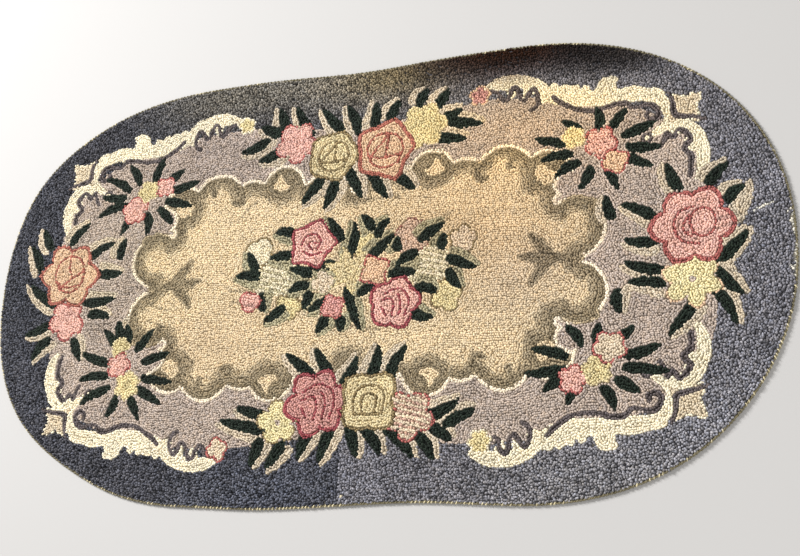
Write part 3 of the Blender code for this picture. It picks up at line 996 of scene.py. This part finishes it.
def bare_spots(x, y, rng):
    """Places for one more loop: cells of the cloth that no loop stands near, thinned so that none of them
    crowds another, by keeping the highest of a random number over each little square, in a few rounds."""
    span = range(-int(BARE), int(BARE) + 1)
    disc = [(j, i) for j in span for i in span if i * i + j * j <= BARE**2]
    bare = cloth.copy()
    found_x, found_y = [], []
    for _ in range(6):
        row, col = cell_at(x, y)
        for dj, di in disc:
            bare[np.clip(row + dj, 0, bare.shape[0] - 1), np.clip(col + di, 0, bare.shape[1] - 1)] = False
        lot = rng.uniform(0.1, 1.0, bare.shape) * bare
        highest = lot
        for axis in (0, 1):
            highest = np.max([np.roll(highest, shift, axis) for shift in span], axis=0)
        row, col = np.nonzero(bare & (lot == highest))
        x, y = grid_x[col], grid_y[row]
        found_x.append(x)
        found_y.append(y)
    return np.concatenate(found_x), np.concatenate(found_y)


rng = np.random.default_rng(7)
shapes = np.where(cloth, pattern, 0)
to_line = blurred(line_distance(shapes))
wandering = MEANDER * np.clip((to_line - 2 * ROW) / (4 * ROW), 0.0, 1.0)
row_field = to_line + wandering * drift(cell_x, cell_y, 0.028, 31)
row_zone = shapes.astype(np.int32)
wide = to_line > ECHO_ROWS * ROW
waver = WAVER_BROAD * drift(cell_x, cell_y, 0.11, 32) + WAVER_FINE * drift(cell_x, cell_y, 0.03, 33)
for zone, (plain, slope) in enumerate(PLAIN, PLAIN_ROWS):
    spot = wide & (shapes == plain)
    row_zone[spot] = zone
    row_field[spot] = (ROW_START + cell_y + slope * cell_x + waver)[spot]

line_x, line_y, line_level, line_next = row_lines(row_field / ROW - 0.5, row_zone)
loop_x, loop_y, loop_row, picked = hooked_along(line_x, line_y, line_next)
loop_rank = line_level[picked] + 1e-6 * np.arange(len(loop_x))
kept = ~crowded_out(loop_x, loop_y, loop_rank)
loop_x, loop_y, loop_row = loop_x[kept], loop_y[kept], loop_row[kept]
extra_x, extra_y = bare_spots(loop_x, loop_y, rng)
loop_x = np.concatenate([loop_x, extra_x])
loop_y = np.concatenate([loop_y, extra_y])
loop_row = np.concatenate([loop_row, np.full(len(extra_x), -1)])
loop_cell = cell_at(loop_x, loop_y)
loop_yarn = shapes[loop_cell]
slope_y, slope_x = np.gradient(row_field)
loop_angle = np.arctan2(slope_x[loop_cell], -slope_y[loop_cell])

# ---------------------------------------------------------------------------------------------------------
# The loops: strips of wool cloth, each loop a soft hump a little longer along its row than across. A skein's
# colour differs from loop to loop, row to row and hand to hand; soft patches make it lighter or darker, with
# painted shadow on the far edge, and stains mark it. Each loop's foot and the creases are darkened as painted
# shade.

LOOP_FOOT = 0.0028
LOOP_TOP = 0.0072
LOOP_HALF_ALONG = 0.0025
LOOP_HALF_ACROSS = 0.0022
LOOP_CROWN = (0.64, 0.58)
LOOP_STRAY = 0.00055
LOOP_UNEVEN = 0.00075
# painted shade between the loops: a loop's foot corners keep this share of its colour, and FOOT_PALER times
# the yarn's paleness more, so pale yarns are shaded less
FOOT_SHADE = 0.36
FOOT_PALER = 0.52
ROW_SHADE = 0.05
LOOP_TURN = 0.40
CROWN_STRAY = 0.00050
# the border's loops are looser: how much more they stray and turn, and how much shorter they are
BORDER_STRAY = 0.8
BORDER_TURN = 0.45
BORDER_SHORTER = 0.10
FRAY_THINNER = 0.35
FRAY_LOWER = 0.0012
CREASE_DEEP = 0.0010
EDGE_LOWER = 0.0014
EDGE_LEAN = 0.0007
EDGE_SLOPE = 0.007  # the outer rows lean out and lie lower over this width
FAR_BLEND = (-0.30, 0.70)  # where the two dye lots start to mix on the far side, and over what length
# x, y, spread along x and y, what each of red, green and blue is multiplied by, and how abruptly it ends.
# The first two patches are painted shadow that darkens the far edge to brown; the others make the colour
# lighter or darker in places.
SHADOW_AND_TONE_PATCHES = (
    (0.300, 0.430, 0.220, 0.075, 0.12, 0.04, 0.01, 2.0),
    (0.500, 0.400, 0.130, 0.060, 0.16, 0.14, 0.12, 2.0),
    (0.330, 0.260, 0.200, 0.090, 1.24, 1.1, 0.84, 1.0),
    (-0.300, 0.270, 0.150, 0.070, 0.82, 0.82, 0.84, 1.0),
    (0.230, 0.080, 0.220, 0.110, 0.92, 0.85, 0.78, 1.0),
    (0.320, -0.020, 0.100, 0.080, 0.88, 0.88, 0.94, 1.0),
    (-0.280, -0.110, 0.120, 0.060, 0.9, 0.88, 0.88, 1.0),
    (-0.480, 0.060, 0.160, 0.200, 0.94, 0.94, 0.9, 1.0),
)
# the border's own patches, in the same columns, which make it lighter or darker in places
BORDER_TONE_PATCHES = (
    (0.080, 0.400, 0.130, 0.060, 1.2, 1.02, 0.6, 1.0),
    (-0.110, 0.400, 0.180, 0.070, 1.92, 1.78, 1.36, 1.0),
    (-0.340, 0.390, 0.130, 0.060, 1.62, 1.52, 1.22, 1.0),
    (-0.580, 0.330, 0.120, 0.090, 0.8, 0.79, 0.78, 1.0),
    (-0.720, 0.060, 0.090, 0.300, 0.8, 0.82, 0.84, 1.0),
    (-0.160, -0.400, 0.160, 0.070, 1.26, 1.32, 1.4, 1.0),
    (0.420, -0.390, 0.200, 0.080, 1.26, 1.26, 1.2, 1.0),
    (0.640, -0.290, 0.140, 0.130, 1.26, 1.28, 1.28, 1.0),
    (0.740, 0.000, 0.080, 0.250, 1.08, 1.09, 1.1, 1.0),
)
# x, y, size and darkness
SPOTS = ((0.184, 0.105, 0.006, 0.45), (0.172, 0.098, 0.004, 0.4), (0.120, 0.085, 0.005, 0.35))


def linear(colour):
    """Light from an 8-bit sRGB colour."""
    share = np.asarray(colour, float) / 255.0
    return np.where(share <= 0.04045, share / 12.92, ((share + 0.055) / 1.055) ** 2.4)


def tinted(x, y, patches):
    """What the soft patches make of each colour at a place: each multiplies it, the more the nearer."""
    tint = np.ones((len(x), 3))
    for at_x, at_y, wide, deep, red, green, blue, edge in patches:
        u = (x - at_x) / wide
        v = (y - at_y) / deep
        tint *= 1.0 + np.exp(-((u * u + v * v) ** edge))[:, None] * (np.array((red, green, blue)) - 1.0)
    return tint


def stains_and_crease_shade(x, y):
    """How much of each colour is left at each place by the dark stains and by the painted shade in the
    creases.
    """
    light = 1.0 - CREASE_SHADE * creased(x, y)
    for at_x, at_y, size, dark in SPOTS:
        light *= 1.0 - dark * np.exp(-((np.hypot(x - at_x, y - at_y) / size) ** 2))
    return light[:, None]


def new_mesh(name, points, faces):
    """A smooth mesh of these points and four-sided faces."""
    mesh = bpy.data.meshes.new(name)
    mesh.vertices.add(len(points))
    mesh.vertices.foreach_set("co", np.ascontiguousarray(points, np.float32).ravel())
    mesh.loops.add(faces.size)
    mesh.loops.foreach_set("vertex_index", np.ascontiguousarray(faces, np.int32).ravel())
    mesh.polygons.add(len(faces))
    mesh.polygons.foreach_set("loop_start", np.arange(0, faces.size, 4, dtype=np.int32))
    mesh.update(calc_edges=True)
    mesh.shade_smooth()
    return mesh


def paint(mesh, colours):
    """Stores a colour for each point, under the name that the materials read."""
    layer = mesh.color_attributes.new(name="dyed", type="FLOAT_COLOR", domain="POINT")
    rgba = np.ones((len(colours), 4), np.float32)
    rgba[:, :3] = np.clip(colours, 0.0, 1.0)
    layer.data.foreach_set("color", rgba.ravel())


def flat_map(mesh, places, faces):
    """Stores a map for baking: each corner of each face takes its point's place in the unit square."""
    layer = mesh.uv_layers.new(name="OFBake")
    layer.data.foreach_set("uv", places[faces.ravel()].astype(np.float32).ravel())


def from_above(points):
    """Each point's share of the way from the lowest to the highest along x and along y."""
    low = points[:, :2].min(axis=0)
    return (points[:, :2] - low) / (points[:, :2].max(axis=0) - low)


def piece_of(name, mesh, material):
    """Puts a mesh in the scene as a piece that rides on the rug."""
    mesh.materials.append(material)
    piece = bpy.data.objects.new(name, mesh)
    bpy.context.scene.collection.objects.link(piece)
    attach(piece, "root")
    return piece


def node(tree, kind, feeds=(), **settings):
    """Adds a shader node with these settings and gives its outputs. Each feed names an input and gives what
    goes into it: another node's output, or a constant."""
    added = tree.nodes.new("ShaderNode" + kind)
    for name, value in settings.items():
        setattr(added, name, value)
    for name, value in dict(feeds).items():
        if isinstance(value, bpy.types.NodeSocket):
            tree.links.new(value, added.inputs[name])
        else:
            added.inputs[name].default_value = value
    return added.outputs


def shader_group(name, takes, gives):
    """An empty shader node group with these inputs and outputs: its tree, what it takes, as outputs of its
    first node, and what it gives, as inputs of its last."""
    tree = bpy.data.node_groups.new(name, "ShaderNodeTree")
    for socket, kind, value in takes:
        entry = tree.interface.new_socket(socket, in_out="INPUT", socket_type="NodeSocket" + kind)
        if value is not None:
            entry.default_value = value
    for socket, kind in gives:
        tree.interface.new_socket(socket, in_out="OUTPUT", socket_type="NodeSocket" + kind)
    return tree, tree.nodes.new("NodeGroupInput").outputs, tree.nodes.new("NodeGroupOutput").inputs


def fibre_group():
    """Wool fibres: fine noise drawn out along a slow swirl. Puts out the dyed colour with darker and paler
    fibres in it, a roughness that wavers with them, and a height for bumps."""
    tree, given, made = shader_group(
        "wool_fibre",
        (("Dyed", "Color", None), ("Fibres per metre", "Float", 1400.0), ("Contrast", "Float", 0.3),
         ("Roughness", "Float", 0.9)),
        (("Colour", "Color"), ("Roughness", "Float"), ("Height", "Float")),
    )
    fibre = node(tree, "TexNoise", {
        "Vector": node(tree, "TexCoord")["Object"], "Scale": given["Fibres per metre"], "Detail": 3.0,
        "Distortion": 1.6,
    })["Fac"]
    centred = node(tree, "Math", {0: fibre, 1: 0.5}, operation="SUBTRACT")[0]
    gain = node(tree, "Math", {0: centred, 1: given["Contrast"], 2: 1.0}, operation="MULTIPLY_ADD")[0]
    shade = node(tree, "VectorMath", {0: given["Dyed"], "Scale": gain}, operation="SCALE")["Vector"]
    rough = node(tree, "Math", {0: centred, 1: 0.12, 2: given["Roughness"]}, operation="MULTIPLY_ADD")[0]
    for socket, value in (("Colour", shade), ("Roughness", rough), ("Height", fibre)):
        tree.links.new(value, made[socket])
    return tree


def cloth_finish(name, fibres, contrast, sheen, shine):
    """The start of a matt, slightly fuzzy finish: fibres in the colours stored on the piece. Gives the
    material, its tree, its shader's inputs and the outputs of its fibres."""
    material = bpy.data.materials.new(name)
    material.use_nodes = True
    tree = material.node_tree
    shader = tree.nodes["Principled BSDF"].inputs
    shader["Sheen Weight"].default_value = sheen
    shader["Specular IOR Level"].default_value = shine
    stored = node(tree, "VertexColor", layer_name="dyed")["Color"]
    fibre = node(tree, "Group", {"Dyed": stored, "Fibres per metre": fibres, "Contrast": contrast},
                 node_tree=fibres_of_wool)
    tree.links.new(fibre["Roughness"], shader["Roughness"])
    return material, tree, shader, fibre


def wool_finish(name, fibres, contrast, sheen, shine):
    """Dull wool, with its fibres raised."""
    material, tree, shader, fibre = cloth_finish(name, fibres, contrast, sheen, shine)
    shader["Sheen Roughness"].default_value = 0.6
    raised = node(tree, "Bump", {"Height": fibre["Height"], "Strength": 0.5, "Distance": 0.0004})["Normal"]
    tree.links.new(fibre["Colour"], shader["Base Color"])
    tree.links.new(raised, shader["Normal"])
    return material


fibres_of_wool = fibre_group()
count = len(loop_x)
in_border = np.isin(loop_yarn, (BORDER_WEST, BORDER_EAST, FRAY))
of_fray = loop_yarn == FRAY
stray = LOOP_STRAY * (1.0 + BORDER_STRAY * in_border)
loop_x = loop_x + stray * rng.normal(0.0, 1.0, count)
loop_y = loop_y + stray * rng.normal(0.0, 1.0, count)
along = loop_angle + (LOOP_TURN + BORDER_TURN * in_border) * rng.normal(0.0, 1.0, count)
half_along = LOOP_HALF_ALONG * rng.uniform(0.80, 1.22, count) * (1.0 - BORDER_SHORTER * in_border)
half_across = LOOP_HALF_ACROSS * rng.uniform(0.80, 1.15, count) * (1.0 - FRAY_THINNER * of_fray)
to_edge = inside_edge(loop_x, loop_y) - TAPE_LIP
outer = np.clip(1.0 - to_edge / EDGE_SLOPE, 0.0, 1.0)
edge_points, edge_outward = rug_edge(EDGE_STATIONS)
edge_turn = np.arctan2(edge_points[:, 1], edge_points[:, 0])
round_edge = np.argsort(edge_turn)
station = np.searchsorted(edge_turn[round_edge], np.arctan2(loop_y, loop_x)) % EDGE_STATIONS
leaning = edge_outward[round_edge[station]]
yarn_pieces, yarn_colours, heather, mottle = (np.array(column) for column in zip(*yarns))
skein = linear(yarn_colours)
paleness = skein[loop_yarn].mean(axis=1)
rough = LOOP_UNEVEN * (1.0 - 0.6 * paleness)
top = (LOOP_TOP + rough * np.clip(rng.normal(0.0, 1.0, count), -2.2, 2.0)
       + 0.0005 * drift(loop_x, loop_y, 0.05, 41) - EDGE_LOWER * outer**2
       - CREASE_DEEP * creased(loop_x, loop_y) - FRAY_LOWER * of_fray)
crown_x = rng.normal(0.0, CROWN_STRAY, count) + EDGE_LEAN * outer * leaning[:, 0]
crown_y = rng.normal(0.0, CROWN_STRAY, count) + EDGE_LEAN * outer * leaning[:, 1]
side_u = np.array([-1.0, 1.0, 1.0, -1.0])
side_v = np.array([-1.0, -1.0, 1.0, 1.0])
cos, sin = np.cos(along)[:, None], np.sin(along)[:, None]
corners = []
for crown, share_u, share_v, height in ((0, 1.0, 1.0, np.full(count, LOOP_FOOT)), (1, *LOOP_CROWN, top)):
    u = side_u * half_along[:, None] * share_u
    v = side_v * half_across[:, None] * share_v
    x = loop_x[:, None] + u * cos - v * sin + crown * crown_x[:, None]
    y = loop_y[:, None] + u * sin + v * cos + crown * crown_y[:, None]
    corners.append(np.stack([x, y, np.repeat(height[:, None], 4, axis=1)], axis=2))
corners = np.concatenate(corners, axis=1)

row_tone = np.random.default_rng(9).normal(0.0, ROW_SHADE, int(loop_row.max()) + 2)[loop_row]
mottling = drift(loop_x, loop_y, 0.035, 42) + 0.6 * drift(loop_x, loop_y, 0.011, 43)
tone = 1.0 + heather[loop_yarn] * rng.normal(0.0, 0.9, count) + mottle[loop_yarn] * mottling + row_tone
warmth = rng.normal(0.0, 0.020, (count, 1)) * np.array([[1.0, 0.2, -1.2]])
mixed = np.clip((loop_x - FAR_BLEND[0]) / FAR_BLEND[1], 0.0, 1.0)
mixed = mixed * mixed * (3.0 - 2.0 * mixed)
seam_share = np.where(loop_y > 0.0, mixed, loop_x > DYE_SEAM)[:, None]
of_border = (in_border & ~of_fray)[:, None]
lot = skein[BORDER_WEST] + (skein[BORDER_EAST] - skein[BORDER_WEST]) * seam_share
shade_at = np.array([share for share, _ in TAUPE_SHADES])
shade_dye = linear([colour for _, colour in TAUPE_SHADES])
loop_shade = shade_share[loop_cell] + rng.normal(0.0, 0.06, count)
taupe = np.stack([np.interp(loop_shade, shade_at, shade_dye[:, channel]) for channel in range(3)], axis=1)
spun = np.where(of_border, lot, np.where((loop_yarn == TAUPE)[:, None], taupe, skein[loop_yarn]))
# the soft patches: painted shadow on the far edge, and lighter or darker tone elsewhere
tint_of_patches = tinted(loop_x, loop_y, SHADOW_AND_TONE_PATCHES) * np.where(of_border, tinted(loop_x, loop_y, BORDER_TONE_PATCHES), 1.0)
dyed = spun * np.clip(tone, 0.35, 1.8)[:, None] * (1.0 + warmth) * tint_of_patches * stains_and_crease_shade(loop_x, loop_y)

# a loop's corners are four at its foot and four round its crown: its crown's face, then its sides
LOOP_SIDES = np.array([[4, 5, 6, 7], [0, 1, 5, 4], [1, 2, 6, 5], [2, 3, 7, 6], [3, 0, 4, 7]])
pile_wool = wool_finish("pile_wool", 1500.0, 0.45, 0.04, 0.20)
border_wool = wool_finish("border_wool", 1200.0, 0.60, 0.02, 0.08)
for name in ("border_west", "border_east", "ground", "centre_field", "scroll_frame", "brackets",
             "leaves", "flowers"):
    of_piece = (yarn_pieces == name)[loop_yarn]
    points = corners[of_piece].reshape(-1, 3)
    faces = (np.arange(of_piece.sum())[:, None, None] * 8 + LOOP_SIDES).reshape(-1, 4)
    mesh = new_mesh(name, points, faces)
    # painted shade: each loop's four foot corners are darkened, as shade between the loops
    foot = (FOOT_SHADE + FOOT_PALER * paleness[of_piece])[:, None]
    shades = np.concatenate([np.repeat(foot, 4, axis=1), np.ones((len(foot), 4))], axis=1)[:, :, None]
    paint(mesh, (dyed[of_piece][:, None, :] * shades).reshape(-1, 3))
    flat_map(mesh, from_above(points), faces)
    finish = border_wool if name.startswith("border") else pile_wool
    piece_of(name, mesh, finish)

# ---------------------------------------------------------------------------------------------------------
# The burlap under the pile: a jute weave. Between the loops its top is painted in the wool's colour,
# darkened, as painted shade; on the underside the wool runs flat from hole to hole and the pattern can be
# read in reverse.

BURLAP_CELLS = (240, 130)
BURLAP_TOP = 0.0031
BURLAP_RIM = 0.0013
BURLAP_INSET = 0.0036
EDGE_THINNER = 0.0008
THINNER_OVER = 0.006
TAPE_REACH = 0.0285
TAPE_STEP = 0.003
JUTE = (168, 140, 100)
COTTON = (222, 210, 184)


def oval_grid(cells, inset):
    """A square net pulled out to the oval: a square's point (s, t) goes to the disc as s root(1 - t*t/2) and
    t root(1 - s*s/2), and the disc is stretched in each direction to the edge, less the inset."""
    s, t = np.meshgrid(np.linspace(-1, 1, cells[0] + 1), np.linspace(-1, 1, cells[1] + 1))
    x = s * np.sqrt(1.0 - t * t / 2.0)
    y = t * np.sqrt(1.0 - s * s / 2.0)
    points, outward = rug_edge(2 * EDGE_STATIONS)
    points = points - outward * inset
    wide, deep = np.abs(points).max(axis=0)
    points = points / (wide, deep)
    radius = read_round(points, np.hypot(*points.T), np.arctan2(y, x))
    return x * radius * wide, y * radius * deep


net_x, net_y = oval_grid(BURLAP_CELLS, BURLAP_INSET)
net_in = inside_edge(net_x, net_y)
net_top = BURLAP_TOP - EDGE_THINNER * np.clip(1.0 - (net_in - BURLAP_INSET) / THINNER_OVER, 0.0, 1.0)
net_under = BURLAP_RIM * np.clip((TAPE_REACH + TAPE_STEP - net_in) / TAPE_STEP, 0.0, 1.0)
rows, cols = net_x.shape
first = (np.arange(rows - 1)[:, None] * cols + np.arange(cols - 1)).ravel()
top_faces = np.stack([first, first + 1, first + cols + 1, first + cols], axis=1)
under_faces = top_faces[:, ::-1] + rows * cols
rim = np.concatenate([np.arange(cols), np.arange(1, rows) * cols + cols - 1,
                      (rows - 1) * cols + np.arange(cols - 2, -1, -1), np.arange(rows - 2, 0, -1) * cols])
after = np.roll(rim, -1)
rim_faces = np.stack([rim + rows * cols, after + rows * cols, after, rim], axis=1)
points = np.concatenate([np.stack([net_x, net_y, net_top], axis=2).reshape(-1, 3),
                         np.stack([net_x, net_y, net_under], axis=2).reshape(-1, 3)])
faces = np.concatenate([top_faces, under_faces, rim_faces])
foundation_mesh = new_mesh("foundation", points, faces)
net_yarn = shapes[cell_at(net_x.ravel(), net_y.ravel())]
# painted shade: under hooked wool the burlap's top takes that wool's colour, darkened more for dark yarns, as
# the shade between the loops; bare cloth is cotton
net_shade = (0.40 + 0.40 * skein[net_yarn].mean(axis=1))[:, None]
net_colour = np.where(net_yarn[:, None] > 0, net_shade * skein[net_yarn], linear(COTTON))
worn_off = np.random.default_rng(44).uniform(0.75, 1.05, (net_colour.shape[0], 1))
under_colour = np.where(net_yarn[:, None] > 0, 0.8 * skein[net_yarn], linear(JUTE)) * worn_off
paint(foundation_mesh, np.concatenate([net_colour, under_colour]))
under_share = from_above(points)
under_share[:, 1] = 0.5 * under_share[:, 1] + 0.5 * (np.arange(len(points)) < rows * cols)
flat_map(foundation_mesh, under_share, faces)


def weave_group():
    """A plain weave: two sets of bands at right angles, each the crown of a thread, and the higher one wins.
    Puts out a height, and a mask that is dark in the holes between threads."""
    tree, given, made = shader_group(
        "plain_weave", (("Vector", "Vector", None), ("Threads", "Float", 500.0)),
        (("Height", "Float"), ("Holes", "Float")),
    )
    bands = {}
    for number, direction in enumerate(("X", "Y")):
        bands[number] = node(tree, "TexWave", {
            "Vector": given["Vector"], "Scale": given["Threads"], "Distortion": 1.2, "Detail": 2.0,
            "Detail Scale": 0.5,
        }, bands_direction=direction)["Fac"]
    higher = node(tree, "Math", bands, operation="MAXIMUM")[0]
    holes = node(tree, "MapRange", {"Value": higher, "From Min": 0.1, "From Max": 0.5, "To Min": 0.45})
    tree.links.new(higher, made["Height"])
    tree.links.new(holes["Result"], made["Holes"])
    return tree


def woven_finish(name, threads, sheen):
    """Matt woven cloth, dark in the holes of its weave and with its threads raised."""
    material, tree, shader, fibre = cloth_finish(name, 900.0, 0.5, sheen, 0.2)
    place = node(tree, "TexCoord")["Object"]
    weave = node(tree, "Group", {"Vector": place, "Threads": threads}, node_tree=plain_weave)
    shade = node(tree, "VectorMath", {0: fibre["Colour"], "Scale": weave["Holes"]}, operation="SCALE")
    raised = node(tree, "Bump", {"Height": weave["Height"], "Strength": 0.8, "Distance": 0.0005})["Normal"]
    tree.links.new(shade["Vector"], shader["Base Color"])
    tree.links.new(raised, shader["Normal"])
    return material


plain_weave = weave_group()
foundation = piece_of("foundation", foundation_mesh, woven_finish("burlap", 250.0, 0.05))
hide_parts("hooked_field")

# ---------------------------------------------------------------------------------------------------------
# The binding: a cotton tape as wide as a thumb, sewn flat under the edge, turned up round it and whipped down
# along its lip with a thick thread, now pale where the wool has worn off it.

TAPE = (132, 122, 92)
TAPE_STATIONS = 720
PUCKER = 0.06
PUCKER_STATIONS = 5.0
LIP_FROM = 0.002
# inset from the edge and height of each corner of the folded tape
TAPE_SECTION = (
    (0.0280, 0.0000), (0.0150, 0.0000), (0.0020, 0.0000), (0.0006, 0.0005), (0.0000, 0.0016),
    (0.0000, 0.0034), (0.0007, 0.0044), (0.0017, 0.0047), (0.0027, 0.0042), (0.0030, 0.0032),
    (0.0030, 0.0014), (0.0036, 0.0010), (0.0150, 0.0010), (0.0280, 0.0010),
)

points, outward = rug_edge(TAPE_STATIONS)
section = np.array(TAPE_SECTION)
pucker = 1.0 + PUCKER * np.sin(np.arange(TAPE_STATIONS) * 2 * np.pi / PUCKER_STATIONS)[:, None]
ring_xy = points[:, None, :] - outward[:, None, :] * section[None, :, 0, None]
ring_z = section[None, :, 1] * np.where(section[None, :, 1] > LIP_FROM, pucker, 1.0)
tape_points = np.concatenate([ring_xy, ring_z[:, :, None]], axis=2).reshape(-1, 3)
sides = len(section)
here = np.arange(TAPE_STATIONS)[:, None] * sides
there = (np.arange(TAPE_STATIONS)[:, None] + 1) % TAPE_STATIONS * sides
k = np.arange(sides)[None, :]
k_next = (k + 1) % sides
tape_faces = np.stack([here + k, here + k_next, there + k_next, there + k], axis=2).reshape(-1, 4)
tape_mesh = new_mesh("binding", tape_points, tape_faces)
paint(tape_mesh, linear(TAPE) * (1.0 + 0.12 * drift(tape_points[:, 0], tape_points[:, 1], 0.03, 51))[:, None])
binding = piece_of("binding_tape", tape_mesh, woven_finish("tape_cotton", 420.0, 0.1))
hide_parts("binding")

WHIP_COUNT = 560
WHIP_THREAD = 0.0011
WHIP_SIDES = 6
WHIP_CREAM = (206, 194, 158)
WHIP_FLATNESS = 0.7
WHIP_TAPER = (0.5, 0.95, 1.0, 1.0, 0.95, 0.5)
WHIP_LEAN = 0.0022
WORN_TONE = 0.30
EDGE_LENGTH = 4.09
OUTLINE_STATIONS = 4096
# inset and height of the thread as it crosses the lip
WHIP_PATH = ((-0.0003, 0.0008), (-0.0005, 0.0026), (0.0002, 0.0046), (0.0017, 0.0055), (0.0034, 0.0050),
             (0.0042, 0.0034))
whip_rng = np.random.default_rng(52)
whip_at = (np.arange(WHIP_COUNT) + whip_rng.uniform(-0.2, 0.2, WHIP_COUNT)) / WHIP_COUNT
edge_points, edge_outward = rug_edge(OUTLINE_STATIONS)
path = np.array(WHIP_PATH)
lean_along = np.linspace(-WHIP_LEAN, WHIP_LEAN, len(path))
stitch = (whip_at[:, None] + lean_along / EDGE_LENGTH) % 1.0 * OUTLINE_STATIONS
index = stitch.astype(int) % OUTLINE_STATIONS
spine = edge_points[index] - edge_outward[index] * path[None, :, 0, None]
spine = np.concatenate([spine, np.repeat(path[None, :, 1, None], WHIP_COUNT, axis=0)], axis=2)
heading = np.gradient(spine, axis=1)
heading /= np.linalg.norm(heading, axis=2, keepdims=True)
beside = np.stack([-edge_outward[index][..., 1], edge_outward[index][..., 0], np.zeros(index.shape)], axis=2)
beside -= heading * np.sum(heading * beside, axis=2, keepdims=True)
beside /= np.linalg.norm(beside, axis=2, keepdims=True)
above = np.cross(heading, beside)
turn = np.arange(WHIP_SIDES) * 2 * np.pi / WHIP_SIDES
taper = np.array(WHIP_TAPER)[None, :, None, None] * WHIP_THREAD
tube_wide = beside[:, :, None] * np.cos(turn)[:, None]
tube_high = above[:, :, None] * np.sin(turn)[:, None] * WHIP_FLATNESS
tube = spine[:, :, None] + taper * (tube_wide + tube_high)
per = len(path) * WHIP_SIDES
j, i = np.meshgrid(np.arange(len(path) - 1), np.arange(WHIP_SIDES), indexing="ij")
i_next = (i + 1) % WHIP_SIDES
quads = np.stack([j * WHIP_SIDES + i, j * WHIP_SIDES + i_next, (j + 1) * WHIP_SIDES + i_next,
                  (j + 1) * WHIP_SIDES + i], axis=2).reshape(-1, 4)
whip_faces = (np.arange(WHIP_COUNT)[:, None, None] * per + quads).reshape(-1, 4)
whip_mesh = new_mesh("whip_stitches", tube.reshape(-1, 3), whip_faces)
pale = 0.5 + 0.5 * drift(whip_at * EDGE_LENGTH, 0.0 * whip_at, 0.06, 53)
pale += whip_rng.uniform(-0.25, 0.25, WHIP_COUNT)
whip_tone = np.where(pale > 0.62, 1.0, WORN_TONE)[:, None] * whip_rng.uniform(0.75, 1.1, (WHIP_COUNT, 1))
paint(whip_mesh, np.repeat(linear(WHIP_CREAM) * whip_tone, per, axis=0))
piece_of("whip_stitches", whip_mesh, wool_finish("whip_thread", 2200.0, 0.5, 0.1, 0.20))
